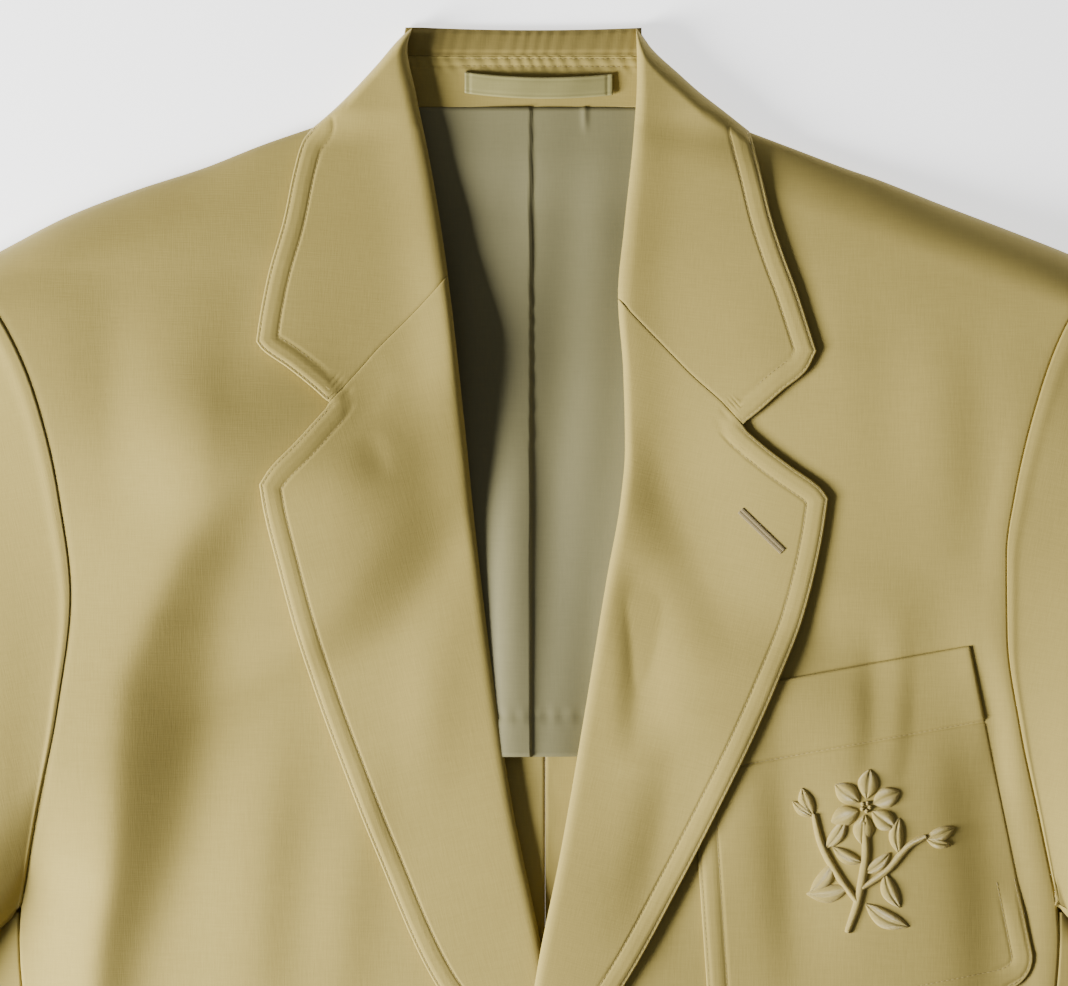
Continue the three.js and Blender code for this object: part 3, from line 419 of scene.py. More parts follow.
def across_height(u: Grid, values: tuple[Grid, Grid, Grid, Grid]) -> Grid:
    """Smooth height across a front through four places, by the same rule as Curve.

    Args:
        u: shares across, from the inner edge to the armhole.
        values: height at each of the four places.

    Returns:
        Height, in the shape of u.
    """
    at = np.array(ACROSS)
    slope = [(values[i + 1] - values[i]) / (at[i + 1] - at[i]) for i in range(3)]
    tangent = [slope[0]]
    for before, after in ((slope[0], slope[1]), (slope[1], slope[2])):
        total = np.where(before + after == 0, 1, before + after)
        tangent.append(np.where(before * after <= 0, 0, 2 * before * after / total))
    tangent.append(slope[2])
    result = np.zeros_like(u)
    for i in range(3):
        span = at[i + 1] - at[i]
        t = np.clip((u - at[i]) / span, 0, 1)
        rise = 3 * t**2 - 2 * t**3
        part = (1 - rise) * values[i] + rise * values[i + 1]
        part = part + span * ((t**3 - 2 * t**2 + t) * tangent[i] + (t**3 - t**2) * tangent[i + 1])
        inside = (u >= at[i]) & ((u < at[i + 1]) | (i == 2))
        result = np.where(inside, part, result)
    return result


def front_height(side: Side, x: Grid, down: Grid) -> Grid:
    """Height of a front's top face.

    Args:
        side: which front.
        x: places across, counted outwards.
        down: places down, of the same shape.

    Returns:
        Height above the floor.
    """
    x, down = np.broadcast_arrays(np.asarray(x, float), np.asarray(down, float))
    inner = inner_edge(side, np.clip(down, 20, LENGTH))
    outer = outer_edge(side, down)
    u = np.clip((x - inner) / (outer - inner), 0, 1)
    at = np.clip(down, 30, LENGTH)
    calm = 1 + side.fullness * smooth(140, 240, at)
    height = across_height(u, (ROLL_HEIGHT(at), INNER_HEIGHT(at) * calm, CHEST_HEIGHT(at) * calm,
                               ARM_HEIGHTS[side.sign](at)))
    height = height + side.layer * OVERLAP_LIFT(np.clip(down, 330, LENGTH)) * bell(x, 70)
    inside = (down - side.shoulder(x)) * 0.92
    fade = 1 - smooth(0.93, 1, u)
    for middle, depth, outer_width, inner_width in side.troughs:
        deep = np.maximum(0, depth(np.clip(down, 150, 660)))
        off = x - middle(down)
        height = height - deep * bell(off, np.where(off > 0, outer_width, inner_width(down))) * fade
    if side.ramps:
        level = FRONT_FLOOR + 0 * x
        for foot, slope, width in side.ramps:
            off = (x - foot(down)) / FOOT_ROUND
            rise = np.logaddexp(0, off) - np.logaddexp(0, off - width / FOOT_ROUND)
            level = level + slope(down) * FOOT_ROUND * rise
        lower = -SOFT * np.logaddexp(-height / SOFT, -level / SOFT)
        height = mix(height, lower, smooth(160, 212, down) * (1 - smooth(500, 640, down)))
    swing = smooth(-2, 14, x) * (1 - smooth(140, 190, x)) * (1 - smooth(420, 620, down))
    for middle, depth, upper_width, lower_width in side.diagonals:
        off = down - middle(x)
        height = height - depth * bell(off, np.where(off < 0, upper_width, lower_width)) * swing
    height = FRONT_FLOOR + SOFT * np.logaddexp(0, (height - FRONT_FLOOR) / SOFT)
    for fold in side.folds:
        height = height - fold.sink(x, down) * fade
    height = np.maximum(height, FRONT_FLOOR - 0.5)
    edge = SHOULDER_EDGE + back_level(down)
    return edge + (height - edge) * quarter(inside / SHOULDER_FALL)


@dataclass(frozen=True)
class Pocket:
    """The chest pocket's plan: corners (x, down), top hem and rounding of the lower corners."""

    top_in: tuple[float, float] = (66.9, 293.5)
    top_out: tuple[float, float] = (191.4, 271.0)
    low_in: tuple[float, float] = (77.4, 447.5)
    low_out: tuple[float, float] = (222.2, 420.0)
    hem: float = 34.0
    round: float = 15.0
    thick: float = 1.1
    hem_extra: float = 0.35
    height: float = 154.0
    width: float = 140.0

    def place(self, across: Grid, drop: Grid) -> Pair:
        """Place in the plan by shares across and down the pocket.

        Args:
            across: shares across the pocket.
            drop: shares down the pocket.

        Returns:
            Places (x, down).
        """
        pairs = []
        for k in (0, 1):
            top = mix(self.top_in[k], self.top_out[k], across)
            pairs.append(mix(top, mix(self.low_in[k], self.low_out[k], across), drop))
        return pairs[0], pairs[1]

    def inset(self, drop: Grid) -> Grid:
        """How far the rounded lower corners draw in the side at a share down."""
        above = np.maximum(0, self.round - (1 - drop) * self.height)
        return (self.round - np.sqrt(np.maximum(0, self.round**2 - above**2))) / self.width

    def lift(self, side: Side, x: Grid, down: Grid) -> Grid:
        """How much a lapel rises where the pocket runs under it.

        Args:
            side: which side of the garment.
            x: places across, in millimetres.
            down: places down, of the same shape.

        Returns:
            Height to add.
        """
        if side.layer == 0:
            return np.zeros_like(x)
        drop = (down - mix(self.top_in[1], self.top_out[1], (x - 67) / 125)) / self.height
        left = mix(self.top_in[0], self.low_in[0], drop)
        return 1.7 * smooth(-42, -3, x - left) * smooth(-0.36, -0.03, drop)


POCKET = Pocket()


def patch(top: Edge, bottom: Edge, inner: Edge, outer: Edge, a: Grid, b: Grid) -> Pair:
    """A patch between four edges: both ruled surfaces added, less the one through the corners.

    Args:
        top: upper edge, by its share.
        bottom: lower edge, by its share.
        inner: inner edge, by its share.
        outer: outer edge, by its share.
        a: shares down.
        b: shares across.

    Returns:
        Places (x, down).
    """
    edges = (top(b), bottom(b), inner(a), outer(a))
    ends = (top(0.0), top(1.0), bottom(0.0), bottom(1.0))
    result = []
    for k in (0, 1):
        ruled = mix(edges[2][k], edges[3][k], b) + mix(edges[0][k], edges[1][k], a)
        corners = mix(mix(ends[0][k], ends[1][k], b), mix(ends[2][k], ends[3][k], b), a)
        result.append(ruled - corners)
    return result[0], result[1]


def down_share(down: Grid | float) -> Grid | float:
    """Share of a body panel's length at a place down."""
    return (down - ARM_TOP_DOWN) / (LENGTH - ARM_TOP_DOWN)


def down_edge(curve: Callable[[Grid], Grid], low: float, high: float) -> Edge:
    """An edge that follows a curve of x by down, between two places down.

    Args:
        curve: x by how far down.
        low: where it starts.
        high: where it ends.

    Returns:
        The edge, by its share.
    """
    def edge(t: Grid | float) -> Pair:
        """Places at shares t."""
        down = mix(low, high, np.asarray(t, float))
        return curve(down), down
    return edge


def straight(start: Pair, end: Pair) -> Edge:
    """A straight edge between two places (x, down).

    Args:
        start: place (x, down) at share 0.
        end: place (x, down) at share 1.

    Returns:
        The edge, by its share.
    """
    def edge(t: Grid | float) -> Pair:
        """Places at shares t."""
        t = np.asarray(t, float)
        return mix(start[0], end[0], t), mix(start[1], end[1], t)
    return edge


def spread(*runs: tuple[float, float, int]) -> Grid:
    """Rising values made of even runs (from, to, count), without doubles."""
    return np.unique(np.round(np.concatenate([np.linspace(low, high, count) for low, high, count in runs]), 7))


class Tone(Enum):
    """Base colours, as linear red, green and blue; the dimmed khaki is painted shade."""

    KHAKI = (0.352, 0.274, 0.074)
    KHAKI_PAINTED_SHADE = (0.262, 0.200, 0.052)
    # khaki darkened to about three quarters: painted shade for the back of the collar
    KHAKI_SHADE = (0.300, 0.230, 0.070)
    PURL = (0.225, 0.172, 0.068)
    SATIN = (0.205, 0.188, 0.092)
    LOOP = (0.300, 0.270, 0.105)
    EMBLEM = (0.450, 0.350, 0.096)
    HORN = (0.075, 0.045, 0.022)


class Graph:
    """A new material's node tree, with short calls to add nodes and set its shader."""

    def __init__(self, name: str) -> None:
        """Starts a material of that name.

        Args:
            name: object name.
        """
        self.made = bpy.data.materials.new(name)
        self.made.use_nodes = True
        self.tree = self.made.node_tree
        self.shader = self.tree.nodes["Principled BSDF"]

    def put(self, inputs: bpy.types.NodeInputs, values: dict[str | int, Any]) -> None:
        """Links each value that is a socket to its input, and sets the others.

        Args:
            inputs: a node's inputs.
            values: values or sockets by input name or number.
        """
        for name, value in values.items():
            if isinstance(value, bpy.types.NodeSocket):
                self.tree.links.new(value, inputs[name])
            else:
                inputs[name].default_value = value

    def add(self, kind: str, output: str | int, inputs: dict[str | int, Any],
            **settings: str) -> bpy.types.NodeSocket:
        """Adds a node.

        Args:
            kind: its type, without the leading ShaderNode.
            output: the output to give back.
            inputs: values or sockets by input name or number.
            **settings: the node's own choices.

        Returns:
            That output's socket.
        """
        node = self.tree.nodes.new(f"ShaderNode{kind}")
        for name, value in settings.items():
            setattr(node, name, value)
        self.put(node.inputs, inputs)
        return node.outputs[output]


@dataclass(frozen=True)
class Cloth:
    """A woven cloth: crossed yarn streaks and slubs in colour and bump, with a soft sheen."""

    name: str
    tone: Tone
    grain_deg: float = 0.0
    roughness: float = 0.86
    sheen: float = 0.1
    streak: float = 0.038
    bump: float = 0.13
    anisotropy: float = 0.0
    warp_scale: tuple[float, float, float] = (1900, 130, 60)
    weft_scale: tuple[float, float, float] = (110, 1500, 60)
    cloud_scale: float = 26
    bump_depth: float = 0.0004

    def material(self) -> bpy.types.Material:
        """Builds the node material.

        Returns:
            The material.
        """
        graph = Graph(self.name)
        place = graph.add("TexCoord", "Object", {})
        turned = graph.add("Mapping", "Vector", {"Vector": place, "Rotation": (0, 0, math.radians(self.grain_deg))})
        warp = self.streaks(graph, turned, self.warp_scale)
        weft = self.streaks(graph, turned, self.weft_scale)
        cloudy = graph.add("TexNoise", "Fac", {"Vector": turned, "Scale": self.cloud_scale, "Detail": 3})
        both = graph.add("Math", 0, {0: warp, 1: weft}, operation="ADD")
        all_three = graph.add("Math", 0, {0: cloudy, 1: 0.7, 2: both}, operation="MULTIPLY_ADD")
        shade = graph.add("MapRange", "Result", {
            "Value": all_three, "From Min": 0.85, "From Max": 1.85,
            "To Min": 1 - self.streak * 2, "To Max": 1 + self.streak * 2,
        })
        color = graph.add("Mix", "Result", {"Factor": 1, "A": (*self.tone.value, 1), "B": shade},
                          data_type="RGBA", blend_type="MULTIPLY")
        normal = graph.add("Bump", "Normal", {"Strength": self.bump, "Distance": self.bump_depth, "Height": both})
        graph.put(graph.shader.inputs, {
            "Roughness": self.roughness, "Sheen Weight": self.sheen, "Sheen Roughness": 0.5,
            "Sheen Tint": (0.9, 0.75, 0.45, 1), "Anisotropic": self.anisotropy, "Specular IOR Level": 0.25,
            "Base Color": color, "Normal": normal,
        })
        return graph.made

    def streaks(self, graph: Graph, vector: bpy.types.NodeSocket,
                scale: tuple[float, float, float]) -> bpy.types.NodeSocket:
        """Noise drawn out along one yarn direction."""
        stretched = graph.add("Mapping", "Vector", {"Vector": vector, "Scale": scale})
        return graph.add("TexNoise", "Fac", {"Vector": stretched, "Scale": 1, "Detail": 2})


@dataclass(frozen=True)
class Thread:
    """Sewing or satin-stitch thread: a plain colour with a soft shine and fine lines across."""

    name: str
    tone: Tone
    roughness: float = 0.55
    lines: float = 0.0
    dark: float = 0.82
    light: float = 1.12
    fleck_scale: float = 900

    def material(self) -> bpy.types.Material:
        """Builds the node material; the lines follow the piece's own UV map.

        Returns:
            The material.
        """
        graph = Graph(self.name)
        place = graph.add("TexCoord", "Object", {})
        noise = graph.add("TexNoise", "Fac", {"Vector": place, "Scale": self.fleck_scale})
        dark, light = ((*[share * c for c in self.tone.value], 1) for share in (self.dark, self.light))
        color = graph.add("Mix", "Result", {"A": dark, "B": light, "Factor": noise}, data_type="RGBA")
        graph.put(graph.shader.inputs, {"Roughness": self.roughness, "Sheen Weight": 0.2, "Base Color": color})
        if self.lines:
            along = graph.add("TexCoord", "UV", {})
            wave = graph.add("TexWave", "Fac", {"Vector": along, "Scale": self.lines, "Distortion": 1.2, "Detail": 1},
                             bands_direction="X")
            bump = graph.add("Bump", "Normal", {"Strength": 0.5, "Distance": 0.0003, "Height": wave})
            graph.put(graph.shader.inputs, {"Normal": bump})
        return graph.made


@dataclass
class Wardrobe:
    """The finishes, each built once."""

    made: dict[str, bpy.types.Material] = field(default_factory=dict)

    def of(self, finish: Cloth | Thread) -> bpy.types.Material:
        """The material of a finish.

        Args:
            finish: the finish to use.

        Returns:
            The material.
        """
        if finish.name not in self.made:
            self.made[finish.name] = finish.material()
        return self.made[finish.name]


BODY_CLOTH = Cloth("khaki_body", Tone.KHAKI)
LAPEL_LEFT_CLOTH = Cloth("khaki_lapel_left", Tone.KHAKI, grain_deg=-14)
LAPEL_RIGHT_CLOTH = Cloth("khaki_lapel_right", Tone.KHAKI, grain_deg=14)
COLLAR_CLOTH = Cloth("khaki_collar", Tone.KHAKI, grain_deg=4)
# the back of the collar is cut from the darker khaki, a painted shade on its fall, fold and strip
NECK_CLOTH_PAINTED_SHADE = Cloth("khaki_neck_fold_painted_shade", Tone.KHAKI_PAINTED_SHADE, grain_deg=4)
SLEEVE_LEFT_CLOTH = Cloth("khaki_sleeve_left", Tone.KHAKI, grain_deg=-12)
SLEEVE_RIGHT_CLOTH = Cloth("khaki_sleeve_right", Tone.KHAKI, grain_deg=12)
SATIN = Cloth("lining_satin", Tone.SATIN, roughness=0.42, sheen=0.1, streak=0.03, bump=0.05, anisotropy=0.4)
LOOP_SATIN = Cloth("loop_satin", Tone.LOOP, roughness=0.4, sheen=0.1, streak=0.03, bump=0.06)
STITCH = Thread("stitch_thread", Tone.KHAKI_SHADE)
EMBLEM_THREAD = Thread("emblem_thread", Tone.EMBLEM, roughness=0.42, lines=26.0)
BUTTON_FINISH = Thread("button_horn", Tone.HORN, roughness=0.3)


def make_mesh(name: str, vertices: Grid, quads: Grid, material: bpy.types.Material,
              uv: Grid | None = None) -> bpy.types.Object:
    """Puts arrays into a new object with smooth faces.

    Args:
        name: object name.
        vertices: rows of x, y, level in metres.
        quads: rows of four vertex numbers.
        material: its finish.
        uv: rows of two numbers for each vertex, if the finish needs them.

    Returns:
        The object, linked to the scene.
    """
    mesh = bpy.data.meshes.new(name)
    mesh.vertices.add(len(vertices))
    mesh.vertices.foreach_set("co", np.ascontiguousarray(vertices, np.float32).ravel())
    mesh.loops.add(quads.size)
    mesh.loops.foreach_set("vertex_index", np.ascontiguousarray(quads, np.int32).ravel())
    mesh.polygons.add(len(quads))
    mesh.polygons.foreach_set("loop_start", np.arange(0, quads.size, 4, dtype=np.int32))
    mesh.polygons.foreach_set("use_smooth", np.ones(len(quads), bool))
    mesh.update(calc_edges=True)
    if uv is not None:
        layer = mesh.uv_layers.new(name="thread")
        layer.data.foreach_set("uv", np.ascontiguousarray(uv[quads.ravel()], np.float32).ravel())
    mesh.validate()
    mesh.materials.append(material)
    made = bpy.data.objects.new(name, mesh)
    bpy.context.scene.collection.objects.link(made)
    return made


def to_frame(x: Grid, down: Grid, level: Grid) -> Grid:
    """Rows of x, y, level in metres from places in millimetres."""
    return np.stack([x * MM, (MID_DOWN - down) * MM, level * MM], axis=-1).reshape(-1, 3)


def shell_quads(rows: int, columns: int, ring: bool) -> Grid:
    """Faces of a closed shell made of an outer grid and an inner grid.

    Args:
        rows: rows of each grid.
        columns: columns of each grid.
        ring: the columns close up into rings, with open ends rimmed.

    Returns:
        Rows of four vertex numbers.
    """
    number = np.arange(rows * columns).reshape(rows, columns)
    under = number + rows * columns
    if ring:
        turned, turned_under = np.roll(number, -1, axis=1), np.roll(under, -1, axis=1)
        top = np.stack([number[:-1], number[1:], turned[1:], turned[:-1]], axis=-1).reshape(-1, 4)
        low = np.stack([under[:-1], turned_under[:-1], turned_under[1:], under[1:]], axis=-1).reshape(-1, 4)
        first = np.stack([number[0], turned[0], turned_under[0], under[0]], axis=-1)
        last = np.stack([number[-1], under[-1], turned_under[-1], turned[-1]], axis=-1)
        return np.concatenate([top, low, first, last])
    top = np.stack([number[:-1, :-1], number[1:, :-1], number[1:, 1:], number[:-1, 1:]], axis=-1).reshape(-1, 4)
    low = np.stack([under[:-1, :-1], under[:-1, 1:], under[1:, 1:], under[1:, :-1]], axis=-1).reshape(-1, 4)
    rim = np.concatenate([number[0], number[1:, -1], number[-1, -2::-1], number[-2:0:-1, 0]])
    ahead = np.roll(rim, -1)
    offset = rows * columns
    side = np.stack([rim, ahead, ahead + offset, rim + offset], axis=-1)
    return np.concatenate([top, low, side])


def outward(vertices: Grid, quads: Grid) -> Grid:
    """The faces turned so that the shell's volume is positive.

    Args:
        vertices: rows of x, y, level.
        quads: rows of four vertex numbers.

    Returns:
        The faces, in the right order.
    """
    a, b, c, d = (vertices[quads[:, k]] for k in range(4))
    volume = (np.einsum("ij,ij->i", a, np.cross(b, c)) + np.einsum("ij,ij->i", a, np.cross(c, d))).sum()
    return quads if volume > 0 else quads[:, ::-1]


@dataclass
class Piece:
    """A cloth piece made as a closed shell; subclasses give its grids and facts."""

    wardrobe: Wardrobe
    cloth: Cloth = BODY_CLOTH
    slot: str = "jacket_cloth"

    def shell(self, name: str, outer: Grid, inner: Grid, ring: bool = False) -> bpy.types.Object:
        """Closes two grids of (x, down, level) into one object.

        Args:
            name: object name.
            outer: grid of (x, down, level) of the outer face.
            inner: the same for the inner face.
            ring: the columns close up into rings.

        Returns:
            The object.
        """
        rows, columns = outer.shape[:2]
        vertices = np.concatenate([to_frame(*np.moveaxis(grid, -1, 0)) for grid in (outer, inner)])
        quads = outward(vertices, shell_quads(rows, columns, ring))
        return make_mesh(name, vertices, quads, self.wardrobe.of(self.cloth))

    def plate(self, name: str, x: Grid, down: Grid, top: Grid, bottom: Grid) -> bpy.types.Object:
        """Closes a top face and a bottom face over the same places into one object."""
        return self.shell(name, np.stack([x, down, top], axis=-1), np.stack([x, down, bottom], axis=-1))

    def dress(self, made: bpy.types.Object, nodes: tuple[str, ...], flat: tuple[float, float],
              rests_on: tuple[str, ...] = (), area: float | None = None) -> bpy.types.Object:
        """Says what the object stands for, and its cut in metres.

        Args:
            made: the object.
            nodes: the solids that it replaces.
            flat: its flat cut; not used.
            rests_on: the objects that it lies on; not used.
            area: the area of its cut, if not all of flat; not used.

        Returns:
            The same object.
        """
        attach(made, "root")
        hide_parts(*nodes)
        LOG.info("%s: %d faces", made.name, len(made.data.polygons))
        return made


def round_edge(distance: Grid, thick: float, reach: float = 1.1) -> Grid:
    """How far the top face falls at a free edge: half the thickness, as a quarter circle."""
    return 0.42 * thick * (1 - quarter(distance / reach))


def swelled_edge(distance: Grid) -> Grid:
    """Relief of a double-stitched edge: a puffed band between two stitch grooves.

    Args:
        distance: distance from the free edge.

    Returns:
        Height to add.
    """
    band = 0.34 * smooth(1.4, 3.4, distance) * (1 - smooth(5.6, 8.8, distance))
    grooves = 0.34 * bell(distance - EDGE_STITCH, 0.5) + 0.36 * bell(distance - SWELL_STITCH, 0.6)
    return band - grooves


@dataclass
class Front(Piece):
    """A front body panel."""

    side: Side = LEFT

    def build(self) -> bpy.types.Object:
        """Builds the panel on the same patch as its solid, with finer rows and columns.

        Returns:
            The object.
        """
        side = self.side
        downs = spread((106, 130, 18), (130, 480, 150), (480, 760, 56))
        a = down_share(downs)
        b = spread((0, 0.06, 6), (0.06, 0.9, 70), (0.9, 1, 18))
        inner_down = Curve((0, side.neck_top), (down_share(130), 66), (down_share(250), 212),
                           (down_share(384), 372), (1, LENGTH))
        neck_x = float(inner_edge(side, side.neck_top))
        bottom = straight((inner_edge(side, LENGTH), LENGTH), (outer_edge(side, LENGTH), LENGTH))
        outer = down_edge(partial(outer_edge, side), ARM_TOP_DOWN, LENGTH)

        def top(t: Grid) -> Pair:
            """The shoulder, drawn up to the neck point."""
            x = mix(neck_x, ARM_TOP_X, np.asarray(t, float))
            return x, mix(side.shoulder(x), side.neck_top, bell(x - neck_x, 12))

        def inner(t: Grid) -> Pair:
            """The edge behind the roll, then the front edge."""
            return inner_edge(side, inner_down(t)), inner_down(t)

        x, down = patch(top, bottom, inner, outer, a[:, None], b[None, :])
        level = self.top(x, down)
        step = 0.5
        dx = (self.top(x + step, down) - self.top(x - step, down)) / (2 * step)
        dy = (self.top(x, down + step) - self.top(x, down - step)) / (2 * step)
        upright = np.minimum(2.2, np.sqrt(1 + dx**2 + dy**2))
        floor = np.minimum(level - 0.8, back_level(down) + CLOTH + 0.3)
        under = np.maximum(level - CLOTH * upright, floor)
        made = self.plate(f"cloth_front_{side.name}", side.sign * x, down, level, under)
        return self.dress(made, (f"front_{side.name}",), (0.27, 0.72), (f"back_{side.name}",), 0.17)

    def top(self, x: Grid, down: Grid) -> Grid:
        """Top face: the large form, a seam dip at the armhole and faint stitching relief at the front edge.

        Args:
            x: places across, in millimetres.
            down: places down, of the same shape.

        Returns:
            Height above the floor.
        """
        side = self.side
        level = front_height(side, x, down)
        arm = outer_edge(side, down) - x
        level = level - 0.25 * bell(arm, 1.6) * smooth(108, 116, down)
        edge = x - inner_edge(side, down)
        return level + swelled_edge(edge) * smooth(470, 490, down)


def roll_levels(distance: Grid, high: Grid, low: Grid, under: Grid) -> Pair:
    """Top and bottom of cloth that turns under at a roll: half circles about the fold's middle.

    Args:
        distance: distance from the roll.
        high: height of the top.
        low: height of what turns under.
        under: underside beyond the turn.

    Returns:
        Top and bottom heights.
    """
    middle, radius = (high + low) / 2, (high - low) / 2
    arc = quarter(distance / ROLL_REACH)
    top = middle + np.maximum(0.2, radius * arc)
    bottom = np.where(distance < ROLL_REACH - 1e-6, middle - np.maximum(0.2, radius * arc), under)
    return top, bottom


def leaf_columns(width: Grid) -> Grid:
    """Columns of a lapel or collar leaf: fine at the roll in millimetres, then by share to the free edge.

    Args:
        width: width of each row, as a column array.

    Returns:
        Shares across, one row for each width.
    """
    near = np.array([0, 0.08, 0.25, 0.5, 0.9, 1.4, 2.0, 2.8, 3.8, 5.0, ROLL_REACH, 7.6, 9.2])
    first = near[None, :] / np.maximum(width, 16)
    start = first[:, -1:]
    middle = start + (NOTCH_SHARE - start) * np.linspace(0, 1, 26)[None, 1:]
    rest = spread((NOTCH_SHARE, 0.8, 12), (0.8, 1, 44))[None, 1:]
    return np.concatenate([first, middle, np.repeat(rest, len(width), axis=0)], axis=1)


def joined(first: Path, second: Path, shift: float = 0.0) -> Edge:
    """One edge from two paths that meet at the notch; the first may be moved down a little.

    Args:
        first: path up to the notch's share.
        second: path from there on.
        shift: how far down the first one moves.

    Returns:
        The edge, by its share.
    """
    def edge(t: Grid | float) -> Pair:
        """Places at shares t.

        Args:
            t: shares of the edge.

        Returns:
            Places (x, down).
        """
        share = np.asarray(t, float)
        one = first(np.clip(share / NOTCH_SHARE, 0, 1))
        two = second(np.clip((share - NOTCH_SHARE) / (1 - NOTCH_SHARE), 0, 1))
        use = share <= NOTCH_SHARE
        return np.where(use, one[0], two[0]), np.where(use, one[1] + shift, two[1])
    return edge


@dataclass
class Lapel(Piece):
    """A turned front with its facing."""

    side: Side = LEFT
    gorge_dip: float = 0.2
    length: float = 362.0

    def __post_init__(self) -> None:
        """Keeps the free edge as a line of points."""
        self.free = np.concatenate([self.side.lapel_notch.dense(), self.side.lapel_outer.dense()[1:]])

    def top(self, x: Grid, down: Grid) -> Grid:
        """Height of the lapel's upper face, away from the turned roll.

        Args:
            x: places across, in millimetres.
            down: places down, of the same shape.

        Returns:
            Height above the floor.
        """
        side = self.side
        fold = np.maximum(0, x - side.roll(down))
        flat = 1 - 0.92 * smooth(175, 265, down)
        level = front_height(side, x, down) + LAY_GAP + LEAF
        level = level + ROLL_LIFT * bell(fold, ROLL_FADE) * flat + POCKET.lift(side, x, down)
        distance, _ = distance_to(x, down, self.free)
        return level + swelled_edge(distance) - round_edge(distance, LEAF)

    def build(self) -> bpy.types.Object:
        """Builds the lapel from the roll to the free edge.

        Returns:
            The object.
        """
        side = self.side
        inner = down_edge(side.roll, float(side.gorge(0.0)[1]) + SEAM, LAPEL_END_DOWN)
        top = joined(side.gorge, side.lapel_notch, SEAM)
        bottom = straight(inner(1.0), side.lapel_outer(1.0))
        a = spread((0, 0.05, 24), (0.05, 0.96, 170), (0.96, 1, 12))[:, None]
        left, right = (patch(top, bottom, inner, side.lapel_outer, a, t) for t in (0.0, 1.0))
        width = np.hypot(right[0] - left[0], right[1] - left[1])
        b = leaf_columns(width)
        x, down = patch(top, bottom, inner, side.lapel_outer, a, b)
        bed = front_height(side, x, down)
        distance = b * width
        high = self.top(x, down)
        under = high - LEAF + round_edge(distance_to(x, down, self.free)[0], LEAF)
        low = mix(bed - CLOTH, under, smooth(434, 448, down))
        level, bottom_level = roll_levels(distance, high, low, under)
        level = np.where(distance < ROLL_REACH, level, high)
        level = level - self.gorge_dip * bell(a * self.length, 0.8) * (b < NOTCH_SHARE)
        bottom_level = np.minimum(bottom_level, level - 0.3)
        made = self.plate(f"cloth_lapel_{side.name}", side.sign * x, down, level, bottom_level)
        return self.dress(made, (f"lapel_{side.name}",), (0.135, 0.38), (f"cloth_front_{side.name}",), 0.0245)


@dataclass
class CollarLeaf(Piece):
    """The part of the collar that lies on a shoulder and ends at the gorge and notch."""

    side: Side = LEFT
    gorge_dip: float = 0.2
    length: float = 105.0
    fold_reach: float = 9.0

    def __post_init__(self) -> None:
        """Keeps the free edge as a line of points."""
        self.free = np.concatenate([self.side.collar_notch.dense(), self.side.collar_outer.dense()[::-1][1:]])

    def bed(self, x: Grid, down: Grid) -> Grid:
        """What the leaf lies on: the front, and level over the neck above it.

        Args:
            x: places across, in millimetres.
            down: places down, of the same shape.

        Returns:
            Height above the floor.
        """
        neck = 9.4 + 2.6 * smooth(48, 82, x)
        share = smooth(34, 52, down)
        return np.maximum(mix(neck, front_height(self.side, x, down), share), STAND_TOP - 0.2)

    def top(self, x: Grid, down: Grid) -> Grid:
        """Height of the leaf's upper face, away from the roll and the shoulder fold.

        Args:
            x: places across, in millimetres.
            down: places down, of the same shape.

        Returns:
            Height above the floor.
        """
        fold = np.maximum(0, x - self.side.roll(down))
        lift = ROLL_LIFT * mix(0.7, 1, smooth(66, 108, down))
        level = self.bed(x, down) + LAY_GAP + LEAF + lift * bell(fold, ROLL_FADE)
        distance, _ = distance_to(x, down, self.free)
        return level + swelled_edge(distance) - round_edge(distance, LEAF)

    def build(self) -> bpy.types.Object:
        """Builds the leaf from the roll to the free edge and from the shoulder fold to the gorge.

        Returns:
            The object.
        """
        side = self.side
        inner = down_edge(side.roll, -COLLAR_RISE, float(side.gorge(0.0)[1]))
        end = joined(side.gorge, side.collar_notch)
        a = spread((0, 0.03, 10), (0.03, 0.12, 14), (0.12, 0.93, 76), (0.93, 1, 22))[:, None]
        left, right = (patch(side.silhouette, end, inner, side.collar_outer, a, t) for t in (0.0, 1.0))
        width = np.hypot(right[0] - left[0], right[1] - left[1])
        b = leaf_columns(width)
        x, down = patch(side.silhouette, end, inner, side.collar_outer, a, b)
        distance = b * width
        high = self.top(x, down)
        under = high - LEAF + round_edge(distance_to(x, down, self.free)[0], LEAF)
        low = np.where(down < 42, STAND_TOP + 0.5, self.bed(x, down) - CLOTH)
        level, bottom = roll_levels(distance, high, low, under)
        level = np.where(distance < ROLL_REACH, level, high)
        from_fold = a * self.length
        arc = np.maximum(quarter(from_fold / self.fold_reach), 0.04)
        level = mix(1.2, level, arc)
        level = level - self.gorge_dip * bell((1 - a) * self.length, 0.8) * (b < NOTCH_SHARE)
        bottom = np.where(from_fold < 3.2, 0.15, np.minimum(bottom, level - 1.4))
        made = self.plate(f"cloth_collar_{side.name}", side.sign * x, down, level, bottom)
        return self.dress(made, ("collar",), (0.13, 0.18), (f"cloth_front_{side.name}",), 0.0105)


